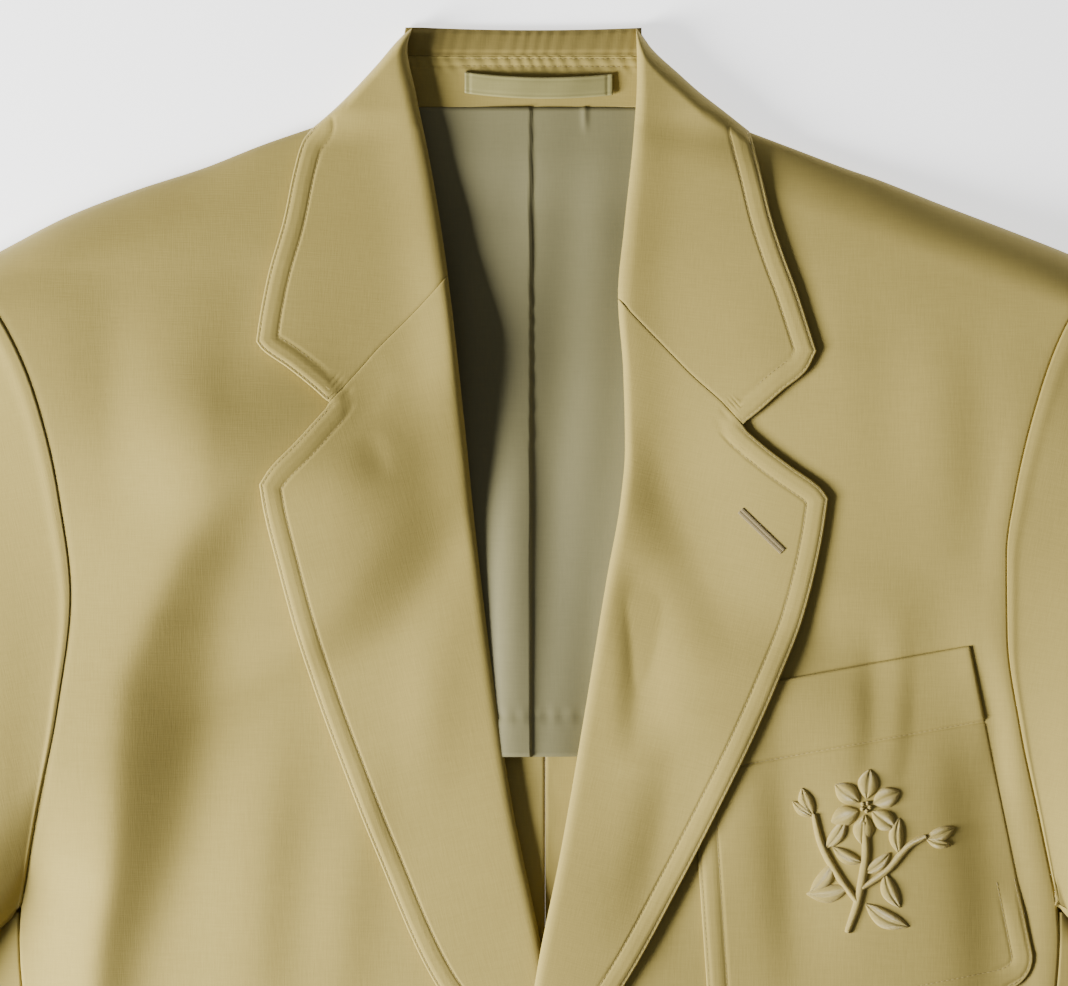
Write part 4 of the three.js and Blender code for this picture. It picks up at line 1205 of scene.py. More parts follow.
@dataclass
class CollarBack(Piece):
    """The back of the collar: the fall on the floor, the fold, and the strip above the stand seam."""

    fall_rows: int = 12
    turn_rows: int = 17
    strip_rows: int = 6

    def build(self) -> bpy.types.Object:
        """Builds the band by its section: flat fall, half circle, flat strip.

        Returns:
            The object.
        """
        half = FALL_TOP / 2
        turn_radius = STAND_TOP / 2 - half
        middle_down = (STAND_TOP - FALL_TOP) / 2 + 0.02 + half
        angles = np.radians(np.linspace(-90, -270, self.turn_rows))
        down = np.concatenate([np.linspace(51, 8, self.fall_rows), middle_down + turn_radius * np.cos(angles),
                               np.linspace(8, STAND_SEAM_DOWN, self.strip_rows)])
        level = np.concatenate([np.full(self.fall_rows, half), STAND_TOP / 2 + turn_radius * np.sin(angles),
                                np.full(self.strip_rows, STAND_TOP - half)])
        nx = np.concatenate([np.zeros(self.fall_rows), np.cos(angles), np.zeros(self.strip_rows)])
        nz = np.concatenate([-np.ones(self.fall_rows), np.sin(angles), np.ones(self.strip_rows)])
        c = np.linspace(0, 1, 150)[None, :]
        at = np.clip(down, 0, 44)
        floor = (nz == -1) & (down > 6)
        edges = []
        for side in (LEFT, RIGHT):
            outline = side.silhouette(np.linspace(0, 1, 60))
            fold_x = np.interp(at, outline[1], outline[0])
            hidden = 0.6 + 14 * smooth(20, 46, down)
            edges.append(np.where(floor, fold_x - hidden, side.roll(at) + 2.4))
        x = mix(-edges[0][:, None], edges[1][:, None], c)
        rise = 0.6 + 1.2 * np.minimum(1, np.abs(x) / 50) ** 2
        spot = down[:, None]
        bow = np.where(spot > 40, -6 * (x / 95) ** 2, -rise * (1 - smooth(0, 12, spot)))
        pucker = 0.1 * np.sin(x / 0.95 + spot * 0.35 + 2 * np.sin(x / 7)) * (nz[:, None] > 0.5)
        pucker = pucker - 0.35 * bell(spot - 9.7, 0.7) * (nz[:, None] > 0.5)
        sink = 2.4 * (1 - smooth(-1.8, 9.5, spot)) * smooth(2.2, 4.6, level[:, None])
        grids = []
        for offset in (half, -half):
            lift = pucker if offset > 0 else 0 * pucker
            grids.append(np.stack([x, spot + nx[:, None] * offset + bow,
                                   level[:, None] + nz[:, None] * offset + lift - sink], axis=-1))
        made = self.shell("cloth_collar_back", grids[0], grids[1])
        return self.dress(made, ("collar",), (0.19, 0.064), (), 0.0098)


@dataclass
class Stand(Piece):
    """The inner band of the collar, quilted in rows."""

    def top(self, x: Grid, down: Grid) -> Grid:
        """Top face: a slight fall to the neck seam, slanted puckers and stitch grooves.

        Args:
            x: places across, in millimetres.
            down: places down, of the same shape.

        Returns:
            Height above the floor.
        """
        level = STAND_TOP - 0.6 * smooth(STAND_SEAM_DOWN, NECK_DOWN, down)
        pucker = 0.13 * np.sin(x / 0.9 - down * 0.5 + 2.2 * np.sin(x / 9)) * (1 - smooth(15, 21, down))
        upper, lower = STAND_ROWS
        return level + pucker - 0.3 * bell(down - upper, 0.6) - 0.3 * bell(down - lower, 0.7)

    def build(self) -> bpy.types.Object:
        """Builds the band between both roll edges.

        Returns:
            The object.
        """
        down = np.linspace(STAND_SEAM_DOWN + SEAM, NECK_DOWN - SEAM, 44)[:, None]
        t = np.linspace(0, 1, 200)[None, :]
        x = mix(-(LEFT.roll(down) + 4), RIGHT.roll(down) + 4, t)
        down = np.broadcast_to(down, x.shape)
        plain = STAND_TOP - 0.6 * smooth(STAND_SEAM_DOWN, NECK_DOWN, down)
        made = self.plate("cloth_collar_stand", x, down, self.top(x, down), plain - CLOTH)
        return self.dress(made, ("collar_stand",), (0.109, 0.022), ("cloth_collar_back",), 0.00225)


@dataclass
class Lining(Piece):
    """The half lining: satin with a pleat, upright folds and a stitched hem."""

    cloth: Cloth = SATIN
    slot: str = "lining_satin"
    hem_stitch: float = 302.0

    def lift(self, x: Grid, down: Grid) -> Grid:
        """Height of the folds above the back.

        Args:
            x: places across, in millimetres.
            down: places down, of the same shape.

        Returns:
            Height above the back.
        """
        free = smooth(NECK_DOWN, 90, down)
        waves = 1.2 + np.sin(x / 6.2 + down / 60) * np.sin(x / 15 + 1.3) + 0.5 * np.sin(x / 9 - down / 80)
        pleat = 0.8 * bell(x + 14, 9)
        step = 1.3 * smooth(-2.2, -1.4, -x - 3.6) * (1 - smooth(-1.4, 24, -x - 3.6))
        tuck = 0.6 * bell(x - 22, 1.4) * (1 - smooth(38, 46, down))
        ridge = 2.8 * smooth(150, 280, down) * (1 - smooth(0, 30, np.abs(x + 4)))
        base = (waves * 0.8 + pleat) * mix(0.25, 1, free) + ridge
        return base + step * mix(0.6, 1, free) + tuck

    def top(self, x: Grid, down: Grid) -> Grid:
        """Top face with the hem's stitch groove and turned fold.

        Args:
            x: places across, in millimetres.
            down: places down, of the same shape.

        Returns:
            Height above the floor.
        """
        level = back_level(down) + CLOTH + 0.3 + self.lift(x, down) + LINING_CLOTH
        hem = 0.35 * smooth(self.hem_stitch, self.hem_stitch + 1.5, down)
        pucker = 0.12 * np.sin(x / 1.3 + 2 * np.sin(x / 11)) * bell(down - self.hem_stitch, 3)
        return level + hem + pucker - 0.4 * bell(down - self.hem_stitch, 0.8)

    def build(self) -> bpy.types.Object:
        """Builds the lining from the neck seam to its hem.

        Returns:
            The object.
        """
        down = np.linspace(NECK_DOWN, LINING_HEM_DOWN, 150)[:, None]
        t = np.linspace(0, 1, 130)[None, :]
        hidden = mix(2, 16, smooth(NECK_DOWN, 80, down))
        x = mix(-(LEFT.roll(down) + hidden), RIGHT.roll(down) + hidden, t)
        down = np.broadcast_to(down, x.shape)
        top = self.top(x, down)
        made = self.plate("cloth_lining", x, down, top, top - LINING_CLOTH)
        return self.dress(made, ("lining",), (0.13, 0.288), ("cloth_back_left", "cloth_back_right"), 0.0275)


@dataclass
class HangerLoop(Piece):
    """The satin loop sewn across the stand."""

    cloth: Cloth = LOOP_SATIN
    slot: str = "lining_satin"
    left: float = -31.0
    right: float = 34.3
    down: float = 18.0
    width: float = 9.4
    sag: float = 2.2
    length: float = 65.3
    thick: float = 1.2

    def build(self) -> bpy.types.Object:
        """Builds the strap: an arch in level and a slight sag, with stitched rims.

        Returns:
            The object.
        """
        r = np.linspace(0, 1, 22)[:, None]
        t = np.linspace(0, 1, 120)[None, :]
        x = mix(self.left, self.right, t) + 0 * r
        arch = np.sin(np.pi * t) ** 0.8
        down = self.down + self.width * r + self.sag * arch + 0.8 * t
        bottom = STAND_TOP + 0.3 + 2.1 * arch + 0 * r
        edge = np.minimum(r, 1 - r) * self.width
        rim = -0.35 * (1 - quarter(edge / 0.9)) - 0.12 * bell(edge - 1.5, 0.5)
        ends = -0.3 * bell((1 - t) * self.length - 2.4, 0.6) - 0.3 * bell(t * self.length - 2.0, 0.6)
        sway = 0.15 * np.sin(t * 19 + r * 2)
        made = self.plate("cloth_hanger_loop", x, down, bottom + self.thick + rim + ends + sway, bottom)
        return self.dress(made, ("hanger_loop",), (0.067, 0.0102), ("cloth_collar_stand",))


@dataclass
class Back(Piece):
    """Half of the back, flat on the floor, with its edge sunk at the centre seam."""

    side: Side = LEFT

    def build(self) -> bpy.types.Object:
        """Builds the half on the same patch as its solid.

        Returns:
            The object.
        """
        side = self.side
        downs = spread((106, 400, 90), (400, 760, 60))
        a = down_share(downs)[:, None]
        b = spread((0, 0.08, 24), (0.08, 1, 40))[None, :]
        inner_down = Curve((0, NECK_DOWN), (down_share(112), 54), (down_share(130), 84),
                           (down_share(384), 372), (1, LENGTH))
        seam = SEAM_BACK_X * side.sign + 0.02

        def outer_x(down: Grid | float) -> Grid:
            """The armhole, then the seam to the side body."""
            return np.where(np.asarray(down) <= UNDERARM_DOWN, BACK_ARM(down), BACK_SEAM(down))

        def top(t: Grid) -> Pair:
            """The neck and the shoulder."""
            x = mix(seam, ARM_TOP_X - 1, np.asarray(t, float))
            return x, mix(NECK_DOWN, side.shoulder(x) + 0.5, smooth(0.2, 0.32, t))

        def inner(t: Grid) -> Pair:
            """The centre back seam."""
            down = inner_down(t)
            return np.full_like(down, seam), down

        bottom = straight((seam, LENGTH), (outer_x(LENGTH), LENGTH))
        outer = down_edge(outer_x, ARM_TOP_DOWN, LENGTH)
        x, down = patch(top, bottom, inner, outer, a, b)
        level = back_level(down)
        dip = 0.7 * (1 - quarter((x - seam) / 1.2)) + 0.15 * bell(x - seam - 2, 3) * np.sin(down / 4)
        made = self.plate(f"cloth_back_{side.name}", side.sign * x, down, level + CLOTH - dip, level)
        return self.dress(made, (f"back_{side.name}",), (0.25, 0.73), (), 0.165)


@dataclass
class SideBody(Piece):
    """The piece under the arm, from the front seam round the side fold to the back seam."""

    side: Side = LEFT
    top_columns: int = 14
    turn_columns: int = 13
    low_columns: int = 12

    def build(self) -> bpy.types.Object:
        """Builds it by its section, a flat top, a half circle and a flat underside.

        Returns:
            The object.
        """
        side = self.side
        radius = SIDE_LEVEL / 2
        down = spread((400, 760, 110))[:, None]
        top_in = outer_edge(side, down) + SEAM + 0.2
        fold = SIDE_FOLD(down)
        low_in = BACK_SEAM(down) + SEAM + 0.3
        angles = np.radians(np.linspace(80, -80, self.turn_columns))[None, :]
        first = mix(top_in, fold - radius, np.linspace(0, 1, self.top_columns)[None, :])
        turned = fold - radius + radius * np.cos(angles)
        last = mix(fold - radius, low_in, np.linspace(0, 1, self.low_columns)[None, :])
        x = np.concatenate([first, turned, last], axis=1)
        counts = (self.top_columns, self.low_columns)
        nz = np.concatenate([np.ones(counts[0]), np.sin(angles[0]), -np.ones(counts[1])])[None, :] + 0 * down
        nx = np.concatenate([np.zeros(counts[0]), np.cos(angles[0]), np.zeros(counts[1])])[None, :] + 0 * down
        start = np.where(down < 401, down + 0.6 - 12 * smooth(0, 1, (fold - x) / (fold - top_in)), down)
        grids = []
        for offset in (0.0, CLOTH):
            grids.append(np.stack([side.sign * (x - nx * offset), start, radius + nz * (radius - offset)], axis=-1))
        made = self.shell(f"cloth_side_{side.name}", grids[0], grids[1])
        return self.dress(made, (f"side_{side.name}",), (0.06, 0.372), (), 0.0155)


@dataclass
class Sleeve(Piece):
    """A sleeve: a flattened tube from the armhole to the cuff."""

    side: Side = LEFT
    wall: float = 1.6
    top_at: tuple[float, float] = (255.0, 105.6)

    def build(self) -> bpy.types.Object:
        """Builds rings that go from the armhole seam's form to a flat ellipse.

        Returns:
            The object.
        """
        side = self.side
        outer_line = Path(self.top_at, (282, 128), (304, 165), (322, 220), (343, 300), (372, 420), (402, 540),
                          (436, 672))
        inner_line = Path((UNDERARM_X + 0.8, UNDERARM_DOWN - 0.4), (262, 446), (280, 540), (295, 630), (308, 712))
        top_down = spread((107, 125, 12), (125, SIDE_SEAM_DOWN, 66))
        top_x = outer_edge(side, top_down) + SEAM
        low_down = spread((118, 384, 34))[::-1]
        low_x = BACK_ARM(low_down) + SEAM
        at_x = np.concatenate([[self.top_at[0]], top_x, [236, 244], [UNDERARM_X + 0.8], low_x])
        at_down = np.concatenate([[self.top_at[1]], top_down - 0.2, [387, 392.5], [UNDERARM_DOWN - 0.4],
                                  low_down - 0.2])
        count_top = len(top_x) + 2
        kind = np.array([0] + [1] * count_top + [0] + [-1] * len(low_x))
        q0 = np.clip((at_down - self.top_at[1]) / (UNDERARM_DOWN - self.top_at[1] - 0.4), 0, 1)
        q0[0], q0[count_top + 1] = 0, 1
        s = spread((0, 0.05, 24), (0.05, 0.3, 46), (0.3, 1, 60))[:, None]
        hold = np.where(kind == -1, smooth(290, 375, at_down), smooth(368, 396, at_down))
        o, n = outer_line(s), inner_line(s)
        q = mix(q0, (1 - np.cos(np.pi * q0)) / 2, 0.6 * smooth(0, 0.3, s))
        o0, n0 = outer_line(0.0), inner_line(0.0)
        rest_x, rest_down = at_x - mix(o0[0], n0[0], q0), at_down - mix(o0[1], n0[1], q0)
        fade_x = mix(0.22, 0.016, hold)
        t = np.clip(s / fade_x, 0, 1)
        x = mix(o[0], n[0], q) + rest_x * (1 - t * t * (3 - 2 * t))
        down = mix(o[1], n[1], q) + rest_down * (1 - smooth(0, 0.3, s))
        bulge = np.sqrt(np.maximum(0, 1 - (2 * q - 1) ** 2))
        fold_level = mix(SIDE_LEVEL / 2 + 0.5, 5, smooth(0, 0.2, s))
        full = Curve((0, 30), (0.08, 36), (0.2, 35), (0.5, 28), (0.8, 21), (1, 17))(s)
        puff = full * (1 + 0.26 * min(0, side.fullness))
        tube = fold_level + (puff - fold_level) * bulge
        seam = front_height(side, np.minimum(at_x - SEAM, outer_edge(side, at_down)), at_down)
        low = np.where(at_down > SIDE_SEAM_DOWN, SIDE_LEVEL, seam)
        head = mix(low + 0.2, tube, smooth(0, 0.16, s)) + 0.45 * bell((s - 0.008) * 600, 3.2) * (at_down < 384)
        over = (s > 0) & (down > 378) & (x < UNDERARM_X + 2)
        head = np.where(over, np.maximum(head, SIDE_LEVEL + self.wall + 0.8), head)
        below = np.where(kind == -1, fold_level * (1 - np.minimum(1, bulge * 1.5)), fold_level)
        level = np.where(kind == 1, head, below)
        level = level - self.creases(s, q) * (kind == 1)
        outer = np.stack([x, down, np.maximum(0, level)], axis=-1)
        inner = self.inside(outer, kind)
        for grid in (outer, inner):
            grid[..., 0] *= side.sign
        made = self.shell(f"cloth_sleeve_{side.name}", outer, inner, ring=True)
        return self.dress(made, (f"sleeve_{side.name}",), (0.34, 0.62), (), 0.158)

    @staticmethod
    def creases(s: Grid, q: Grid) -> Grid:
        """Soft creases: bells across slanted lines that fade in and out along the sleeve.

        Args:
            s: shares along the sleeve.
            q: shares from the outer line to the inner one.

        Returns:
            How deep they are.
        """
        slanted = 1.6 * bell((q - 0.72 + 0.5 * (s - 0.2)) * 60, 7) * bell((s - 0.2) * 10, 1.3)
        elbow = 1.8 * bell((s - 0.5 + 0.12 * q) * 60, 2.4) * bell(q - 0.75, 0.25)
        second = 1.3 * bell((s - 0.58 + 0.2 * q) * 60, 2.8) * bell(q - 0.8, 0.2)
        upright = 1.4 * bell((q - 0.35) * 30, 3) * bell((s - 0.35) * 10, 2)
        return slanted + elbow + second + upright

    def inside(self, outer: Grid, kind: Grid) -> Grid:
        """Inner face: each ring point moved in by the wall along the surface's normal.

        Args:
            outer: grid of (x, down, level) of the outer face.
            kind: 1 for the upper half of a ring, -1 for the lower, 0 at both folds.

        Returns:
            The inner face, in the same form.
        """
        points = outer.copy()
        points[..., 1] *= -1
        along = np.gradient(points, axis=0)
        around = np.roll(points, -1, axis=1) - np.roll(points, 1, axis=1)
        normal = np.cross(along, around)
        normal /= np.maximum(np.linalg.norm(normal, axis=-1, keepdims=True), 1e-9)
        top, low = kind == 1, kind == -1
        normal = np.where((top & (normal[..., 2] < 0))[..., None], -normal, normal)
        flat = np.stack([normal[..., 0] * 0.3, normal[..., 1] * 0.3, np.full(normal.shape[:2], -1.0)], axis=-1)
        normal = np.where(low[None, :, None], flat / np.linalg.norm(flat, axis=-1, keepdims=True), normal)
        folds = np.flatnonzero(kind == 0)
        normal[:, folds[0]] = (0.71, 0.71, 0)
        normal[:, folds[1]] = (-1, 0, 0)
        inner = points - normal * self.wall
        inner[..., 1] *= -1
        return inner


@dataclass
class ChestPocket(Piece):
    """The patch pocket with its deep hem."""

    side: Side = RIGHT

    def edge_line(self) -> Grid:
        """The pocket's outline as a line of points, from the inner top corner round the foot to the outer one.

        Returns:
            Rows of (x, down).
        """
        drop = np.linspace(0, 1, 160)
        share = POCKET.inset(drop)
        left = np.stack(POCKET.place(share, drop), axis=1)
        right = np.stack(POCKET.place(1 - share, drop), axis=1)
        foot = np.stack(POCKET.place(np.linspace(share[-1], 1 - share[-1], 100), np.ones(100)), axis=1)
        return np.concatenate([left, foot[1:-1], right[::-1]])

    def top(self, lines: tuple[Grid, Grid, Grid], x: Grid, down: Grid) -> Grid:
        """Height of the pocket's upper face with its hem, grooves and swelled edges.

        Args:
            lines: the edge lines of the pocket, from lines().
            x: places across.
            down: places down, of the same shape.

        Returns:
            Height above the floor.
        """
        sides, mouth, hem = lines
        edge, share = distance_to(x, down, sides)
        top_edge, _ = distance_to(x, down, mouth)
        to_hem, _ = distance_to(x, down, hem)
        above = smooth(-0.6, 0.6, np.where(top_edge < POCKET.hem, to_hem, -to_hem))
        level = front_height(self.side, x, down) + 0.3 + POCKET.thick + POCKET.hem_extra * above
        plain = smooth(0.69, 0.74, share)
        level = level - 0.7 * bell(to_hem, 0.8) + swelled_edge(edge) * (1 - above) * (1 - plain)
        pressed = plain * (1 - above) * (1 - quarter(edge / 17)) * (POCKET.thick + 0.2)
        slit = 0.3 * bell(edge, 1.4) * plain * above
        rounded = round_edge(np.minimum(edge, top_edge), POCKET.thick) * (1 - plain * (1 - above))
        return level - rounded - pressed - slit

    def lines(self) -> tuple[Grid, Grid, Grid]:
        """Side-and-foot edge, mouth and hem stitch lines.

        Returns:
            Rows of (x, down) for each of the three.
        """
        t = np.linspace(0, 1, 40)
        mouth = np.stack(POCKET.place(t, 0 * t), axis=1)
        hem = np.stack(POCKET.place(t, 0 * t + POCKET.hem / POCKET.height), axis=1)
        return self.edge_line()[::3], mouth, hem

    def build(self) -> bpy.types.Object:
        """Builds the patch, close-meshed at its edges.

        Returns:
            The object.
        """
        drop = spread((0, 0.02, 5), (0.02, 0.21, 20), (0.21, 0.233, 14), (0.233, 0.9, 60), (0.9, 1, 24))[:, None]
        across = spread((0, 0.09, 18), (0.09, 0.91, 66), (0.91, 1, 18))[None, :]
        share = POCKET.inset(drop)
        x, down = POCKET.place(mix(share, 1 - share, across), drop + 0 * across)
        bed = front_height(self.side, x, down) + 0.3
        top = self.top(self.lines(), x, down)
        made = self.plate("cloth_chest_pocket", x, down, top, np.minimum(bed, top - 0.4))
        return self.dress(made, ("chest_pocket",), (0.148, 0.158), ("cloth_front_right",), 0.0208)


@dataclass
class Stitches:
    """Rows of sewing thread laid on cloth, all in one object."""

    wardrobe: Wardrobe
    pitch: float = 2.3
    length: float = 1.8
    radius: float = 0.17

    def __post_init__(self) -> None:
        """Starts with no stitches."""
        self.places: list[Grid] = []
        self.ways: list[Grid] = []
        self.sizes: list[Grid] = []

    def row(self, line: Grid, height: Height, sign: int = 1) -> None:
        """Adds stitches evenly along a line of (x, down), on the surface that height gives.

        Args:
            line: rows of (x, down).
            height: the surface.
            sign: -1 for the left side.
        """
        steps = np.hypot(*np.diff(line, axis=0).T)
        along = np.concatenate([[0], np.cumsum(steps)])
        count = max(1, int(along[-1] / self.pitch))
        middle = (np.arange(count) + 0.5) * along[-1] / count
        ends = []
        for shift in (-self.length / 2, self.length / 2):
            at = np.clip(middle + shift, 0, along[-1])
            x, down = np.interp(at, along, line[:, 0]), np.interp(at, along, line[:, 1])
            ends.append(np.stack([sign * x, down, height(x, down)], axis=1))
        self.add(ends[0], ends[1])

    def add(self, start: Grid, end: Grid, radius: float | None = None) -> None:
        """Adds one stitch between each pair of ends.

        Args:
            start: rows of (x, down, level).
            end: the same for the other ends.
            radius: thread radius, if not the usual one.
        """
        self.places.append((start + end) / 2)
        self.ways.append(end - start)
        self.sizes.append(np.full(len(start), radius or self.radius))

    def build(self, name: str, finish: Thread) -> bpy.types.Object:
        """Builds every stitch as a small pointed capsule of four rings of six points.

        Args:
            name: object name.
            finish: the finish to use.

        Returns:
            The object.
        """
        place, way = np.concatenate(self.places), np.concatenate(self.ways)
        size = np.concatenate(self.sizes)[:, None, None]
        long = np.linalg.norm(way, axis=1, keepdims=True)
        forward = way / np.maximum(long, 1e-6)
        up = np.array([0, 0, 1.0]) - forward * forward[:, 2:3]
        up /= np.linalg.norm(up, axis=1, keepdims=True)
        across = np.cross(forward, up)
        turns = np.linspace(0, 2 * np.pi, 6, endpoint=False)
        shares = np.array([-0.5, -0.36, 0.36, 0.5])
        radii = np.array([0.35, 1.0, 1.0, 0.35])
        circle = across[:, None, :] * np.cos(turns)[None, :, None] + up[:, None, :] * np.sin(turns)[None, :, None]
        rings = []
        for share, radius in zip(shares, radii, strict=True):
            centre = place + way * share
            rings.append(centre[:, None, :] + circle * size * radius)
        points = np.stack(rings, axis=1)
        count = len(place)
        ring = np.arange(count)[:, None, None, None] * 24 + np.arange(3)[None, :, None, None] * 6
        k = np.arange(6)[None, None, :, None]
        after = (k + 1) % 6
        quads = np.concatenate([ring + k, ring + after, ring + 6 + after, ring + 6 + k], axis=-1)
        caps = np.array([[3, 2, 1, 0], [5, 4, 3, 0], [18, 19, 20, 21], [18, 21, 22, 23]])
        cap_quads = (np.arange(count)[:, None, None] * 24 + caps[None]).reshape(-1, 4)
        quads = np.concatenate([quads.reshape(-1, 4), cap_quads])
        flat = points.reshape(-1, 3)
        vertices = to_frame(flat[:, 0], flat[:, 1], flat[:, 2])
        made = make_mesh(name, vertices, outward(vertices, quads), self.wardrobe.of(finish))
        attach(made, "root")
        LOG.info("%s: %d stitches", name, count)
        return made


def inset_line(edge: Grid, distance: float, inside: tuple[float, float]) -> Grid:
    """A line at a distance inside an edge, with the loops at corners taken out.

    Args:
        edge: rows of (x, down).
        distance: how far in.
        inside: a place on the inner side.

    Returns:
        Rows of (x, down).
    """
    step = np.gradient(edge, axis=0)
    step /= np.maximum(np.linalg.norm(step, axis=1, keepdims=True), 1e-9)
    normal = np.stack([-step[:, 1], step[:, 0]], axis=1)
    middle = len(edge) // 2
    if np.dot(normal[middle], np.array(inside) - edge[middle]) < 0:
        normal = -normal
    moved = edge + normal * distance
    gap, _ = distance_to(moved[:, 0], moved[:, 1], edge)
    return moved[gap > distance * 0.985]


@dataclass
class Emblem:
    """A raised satin-stitch sprig with a blossom on the pocket: leaves, petals, stems and knots."""

    wardrobe: Wardrobe
    height: Height
    centre: tuple[float, float] = (144.5, 362.0)
    turn_deg: float = -6.0
    scale: float = 1.12

    def place(self, u: Grid, w: Grid) -> Pair:
        """Garment place of an emblem place (u to the right, w up), turned with the pocket.

        Args:
            u: places to the right.
            w: places up.

        Returns:
            Places (x, down).
        """
        turn = math.radians(self.turn_deg)
        u, w = u * self.scale, w * self.scale
        x = self.centre[0] + u * math.cos(turn) - w * math.sin(turn)
        return x, self.centre[1] - (u * math.sin(turn) + w * math.cos(turn))

    def blade(self, root: tuple[float, float], angle_deg: float, length: float, width: float,
              bend: float = 0.0) -> tuple[Grid, Grid, Grid]:
        """One leaf or petal: vertices, faces and thread coordinates of a domed lens with a sunk midrib.

        Args:
            root: where it starts.
            angle_deg: which way it points, from the right.
            length: its length.
            width: its width.
            bend: how far its middle bows out.

        Returns:
            Vertices, faces and thread coordinates.
        """
        s = np.linspace(0, 1, 26)[:, None]
        t = np.linspace(-1, 1, 13)[None, :]
        angle = math.radians(angle_deg)
        half = width / 2 * np.sin(np.pi * np.clip(s, 0.015, 0.985)) ** 0.75
        along, side = s * length, t * half + bend * np.sin(np.pi * s)
        u = root[0] + along * math.cos(angle) - side * math.sin(angle)
        w = root[1] + along * math.sin(angle) + side * math.cos(angle)
        x, down = self.place(u, w)
        dome = 2.0 * (1 - t**2) ** 0.5 * np.sin(np.pi * np.clip(s, 0.02, 0.98)) ** 0.5 - 0.6 * bell(t, 0.16)
        top = self.height(x, down) + 0.1 + dome
        return self.closed(x, down, top, s + 0.18 * np.abs(t), t + 0 * s, length)

    def stem(self, points: tuple[tuple[float, float], ...], width: float) -> tuple[Grid, Grid, Grid]:
        """A curved cord of satin stitch.

        Args:
            points: points (right, up) on its middle.
            width: its width.

        Returns:
            Vertices, faces and thread coordinates.
        """
        path = Path(*points)
        s = np.linspace(0, 1, 60)
        u, w = path(s)
        du, dw = np.gradient(u), np.gradient(w)
        size = np.hypot(du, dw)
        t = np.linspace(-1, 1, 9)[None, :]
        half = (width / 2 * (0.55 + 0.45 * np.sin(np.pi * s) ** 0.4))[:, None]
        x, down = self.place(u[:, None] - (dw / size)[:, None] * t * half,
                             w[:, None] + (du / size)[:, None] * t * half)
        top = self.height(x, down) + 0.1 + 1.8 * (1 - t**2) ** 0.5
        return self.closed(x, down, top, s[:, None] + 0 * t, t + 0 * s[:, None], path.length)

    def closed(self, x: Grid, down: Grid, top: Grid, s: Grid, t: Grid, length: float) -> tuple[Grid, Grid, Grid]:
        """Closes a domed face down onto the cloth.

        Args:
            x: places across, in millimetres.
            down: places down, of the same shape.
            top: its upper face.
            s: shares along it.
            t: shares across it, from -1 to 1.
            length: its length.

        Returns:
            Vertices, faces and thread coordinates.
        """
        bottom = self.height(x, down) - 0.12
        top = np.maximum(top, bottom + 0.06)
        rows, columns = x.shape
        vertices = np.concatenate([to_frame(x, down, top), to_frame(x, down, bottom)])
        quads = outward(vertices, shell_quads(rows, columns, False))
        uv = np.stack([(s * length / 20).ravel(), t.ravel() * 0.02], axis=1)
        return vertices, quads, np.concatenate([uv, uv])

    def build(self) -> bpy.types.Object:
        """Builds a three-stemmed sprig: paired leaves, two buds and one open blossom.

        Returns:
            The object.
        """
        parts = [
            self.stem(((-3, -32), (0, -18), (1, -2), (-1, 12)), 3.4),
            self.stem(((0, -20), (-9, -10), (-17, 2), (-21, 13)), 3.0),
            self.stem(((1, -14), (10, -6), (18, 5), (24, 9)), 3.0),
        ]
        leaves = (
            ((-4, -14), 196, 17, 7.0, 1.4), ((-11, -5), 238, 15, 6.2, 1.2), ((-15, 0), 62, 14, 5.6, -1.0),
            ((3, -20), 338, 19, 7.4, -1.6), ((9, -7), 300, 15, 6.4, -1.2), ((14, 1), 96, 14, 5.8, 1.2),
            ((0, -4), 158, 13, 5.4, 1.0), ((1, -8), 44, 13, 5.4, -1.0),
            ((-21, 12), 118, 12, 6.0, 0.6), ((-21, 12), 150, 10, 4.6, 0.4), ((24, 8), 28, 12, 6.0, -0.6),
            ((24, 8), 352, 10, 4.6, -0.4),
        )
        parts += [self.blade(*leaf) for leaf in leaves]
        for k in range(6):
            angle = 90 + 60 * k
            root = (-1 + 3.2 * math.cos(math.radians(angle)), 18 + 3.2 * math.sin(math.radians(angle)))
            parts.append(self.blade(root, angle, 11.5, 8.2))
        for k in range(5):
            angle = math.radians(72 * k)
            parts.append(self.blade((-1 + 1.6 * math.cos(angle) - 0.9, 18 + 1.6 * math.sin(angle)), 0, 1.9, 1.9))
        starts = np.cumsum([0] + [len(part[0]) for part in parts[:-1]])
        vertices = np.concatenate([part[0] for part in parts])
        quads = np.concatenate([part[1] + start for part, start in zip(parts, starts, strict=True)])
        uv = np.concatenate([part[2] for part in parts])
        made = make_mesh("emblem_sprig", vertices, quads, self.wardrobe.of(EMBLEM_THREAD), uv)
        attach(made, "root")
        LOG.info("emblem: %d faces", len(quads))
        return made


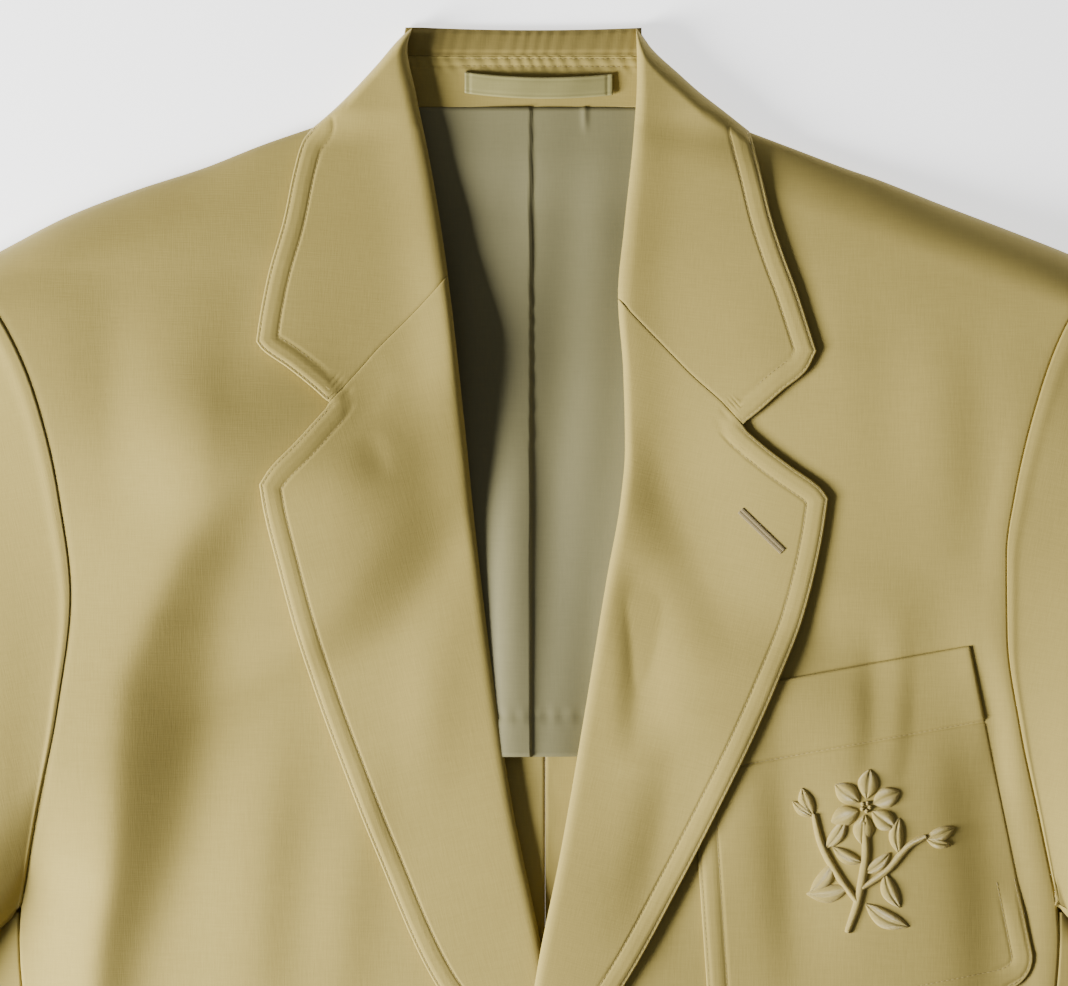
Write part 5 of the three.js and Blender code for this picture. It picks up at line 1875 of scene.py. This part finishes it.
@dataclass
class Studio:
    """Floor, lights and camera."""

    picture: tuple[float, float] = (1068.0, 986.0)
    pixel_mm: float = 0.44
    centre_px: tuple[float, float] = (535.0, 30.0)
    distance: float = 3.2
    sensor: float = 36.0
    floor_glow: float = 1.5
    key_at: tuple[float, float, float] = (-1.15, -0.24, 0.56)
    key_power: float = 75.0
    key_size: float = 0.6
    sky_strength: float = 0.16

    def floor(self) -> None:
        """A large white sheet just under the garment."""
        size = 6.0
        vertices = np.array([[-size, -size, 0], [size, -size, 0], [size, size, 0], [-size, size, 0]], float)
        vertices[:, 2] = -0.0004
        made = bpy.data.materials.new("floor_white")
        made.use_nodes = True
        shader = made.node_tree.nodes["Principled BSDF"]
        shader.inputs["Base Color"].default_value = (0.9, 0.9, 0.9, 1)
        shader.inputs["Roughness"].default_value = 0.9
        shader.inputs["Specular IOR Level"].default_value = 0.1
        shader.inputs["Emission Color"].default_value = (1, 1, 1, 1)
        shader.inputs["Emission Strength"].default_value = self.floor_glow
        plane = make_mesh("floor", vertices, np.array([[0, 1, 2, 3]]), made)

    def lights(self) -> None:
        """A square soft box at the lower left that faces the chest, and an even, weak sky."""
        data = bpy.data.lights.new("key", "AREA")
        data.energy, data.size = self.key_power, self.key_size
        lamp = bpy.data.objects.new("key", data)
        lamp.location = self.key_at
        aim = Vector((0, 0.17, 0)) - Vector(self.key_at)
        lamp.rotation_euler = aim.to_track_quat("-Z", "Y").to_euler()
        bpy.context.scene.collection.objects.link(lamp)
        world = bpy.data.worlds.new("studio")
        world.use_nodes = True
        sky = world.node_tree.nodes["Background"]
        sky.inputs["Color"].default_value = (1, 1, 1, 1)
        sky.inputs["Strength"].default_value = self.sky_strength
        bpy.context.scene.world = world

    def camera(self) -> None:
        """Looks straight down, framed as the photo by its pixel size."""
        data = bpy.data.cameras.new("camera")
        data.sensor_width = self.sensor
        width = self.picture[0] * self.pixel_mm * MM
        data.lens = self.sensor * self.distance / width
        data.clip_end = 20
        camera = bpy.data.objects.new("camera", data)
        x = (self.picture[0] / 2 - self.centre_px[0]) * self.pixel_mm
        down = (self.picture[1] / 2 - self.centre_px[1]) * self.pixel_mm
        camera.location = (x * MM, (MID_DOWN - down) * MM, self.distance + 0.012)
        bpy.context.scene.collection.objects.link(camera)
        bpy.context.scene.camera = camera


@dataclass
class Blazer:
    """The whole garment: builds every piece, then the sewing on it."""

    wardrobe: Wardrobe = field(default_factory=Wardrobe)

    def build(self) -> None:
        """Builds the pieces from the floor up."""
        self.sides()
        # the collar's back gets the darker khaki, which is painted shade
        CollarBack(self.wardrobe, NECK_CLOTH_PAINTED_SHADE).build()
        Stand(self.wardrobe, COLLAR_CLOTH).build()
        Lining(self.wardrobe, SATIN, "lining_satin").build()
        HangerLoop(self.wardrobe, LOOP_SATIN, "lining_satin").build()
        pocket = ChestPocket(self.wardrobe)
        pocket.build()
        self.sewing(pocket)
        Emblem(self.wardrobe, height=partial(pocket.top, pocket.lines())).build()
        self.buttons()

    def sides(self) -> None:
        """Builds the paired pieces."""
        lapel = {"left": LAPEL_LEFT_CLOTH, "right": LAPEL_RIGHT_CLOTH}
        sleeve = {"left": SLEEVE_LEFT_CLOTH, "right": SLEEVE_RIGHT_CLOTH}
        for side in (LEFT, RIGHT):
            Back(self.wardrobe, side=side).build()
            SideBody(self.wardrobe, side=side).build()
            Front(self.wardrobe, side=side).build()
            Lapel(self.wardrobe, lapel[side.name], side=side).build()
            CollarLeaf(self.wardrobe, COLLAR_CLOTH, side=side).build()
            Sleeve(self.wardrobe, sleeve[side.name], side=side).build()

    def sewing(self, pocket: ChestPocket) -> None:
        """Lays the stitch rows of the lapels, collar, stand and pocket, and the buttonhole.

        Args:
            pocket: the chest pocket.
        """
        rows = Stitches(self.wardrobe)
        for side in (LEFT, RIGHT):
            lapel, leaf = Lapel(self.wardrobe, side=side), CollarLeaf(self.wardrobe, side=side)
            for distance in (EDGE_STITCH, SWELL_STITCH):
                rows.row(inset_line(lapel.free, distance, (60, 300)), lapel.top, side.sign)
                rows.row(inset_line(leaf.free, distance, (70, 110)), leaf.top, side.sign)
        lines = pocket.lines()
        top = partial(pocket.top, lines)
        outline = pocket.edge_line()
        sewn = outline[:int(len(outline) * 0.74)]
        for distance in (EDGE_STITCH, SWELL_STITCH):
            rows.row(inset_line(sewn, distance, (145, 360)), top)
        rows.row(lines[2], top)
        stand = Stand(self.wardrobe)
        for down in STAND_ROWS:
            rows.row(np.array([[-33.0, down], [40.0, down + 0.3]]), stand.top)
        rows.build("stitch_rows", STITCH)
        self.buttonhole()

    def buttonhole(self) -> None:
        """Works the lapel buttonhole: close stitches across both lips of a slanted slit."""
        lapel = Lapel(self.wardrobe, side=RIGHT)
        start, end = np.array([90.6, 211.6]), np.array([108.7, 229.2])
        way = (end - start) / np.linalg.norm(end - start)
        across = np.array([-way[1], way[0]])
        stitches = Stitches(self.wardrobe)
        t = np.linspace(0, 1, 46)[:, None]
        middle = start + (end - start) * t
        for lip in (-1, 1):
            near, far = middle - across * 0.2 * lip, middle + across * 1.7 * lip
            ends = [np.column_stack([spot, lapel.top(spot[:, 0], spot[:, 1]) + 0.25]) for spot in (near, far)]
            stitches.add(ends[0], ends[1], 0.4)
        stitches.build("lapel_buttonhole", Thread("buttonhole_thread", Tone.PURL, roughness=0.7))

    def buttons(self) -> None:
        """Gives the buttons' solids their finish."""
        made = self.wardrobe.of(BUTTON_FINISH)
        for name in ("button_upper", "button_lower"):
            node = bpy.data.objects[name]
            for slot in node.material_slots:
                slot.material = made


def main() -> None:
    """Builds the garment and the studio."""
    logging.basicConfig(level=logging.INFO, format="%(message)s")
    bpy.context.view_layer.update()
    Blazer().build()
    studio = Studio()
    studio.floor()
    studio.lights()
    studio.camera()


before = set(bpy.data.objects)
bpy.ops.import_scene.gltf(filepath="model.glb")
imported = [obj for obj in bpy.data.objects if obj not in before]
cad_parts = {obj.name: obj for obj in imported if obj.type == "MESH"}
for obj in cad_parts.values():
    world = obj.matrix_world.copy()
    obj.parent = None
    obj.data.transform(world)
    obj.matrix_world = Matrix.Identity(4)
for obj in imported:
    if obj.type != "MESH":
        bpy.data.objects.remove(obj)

if __name__ == "__main__":
    main()
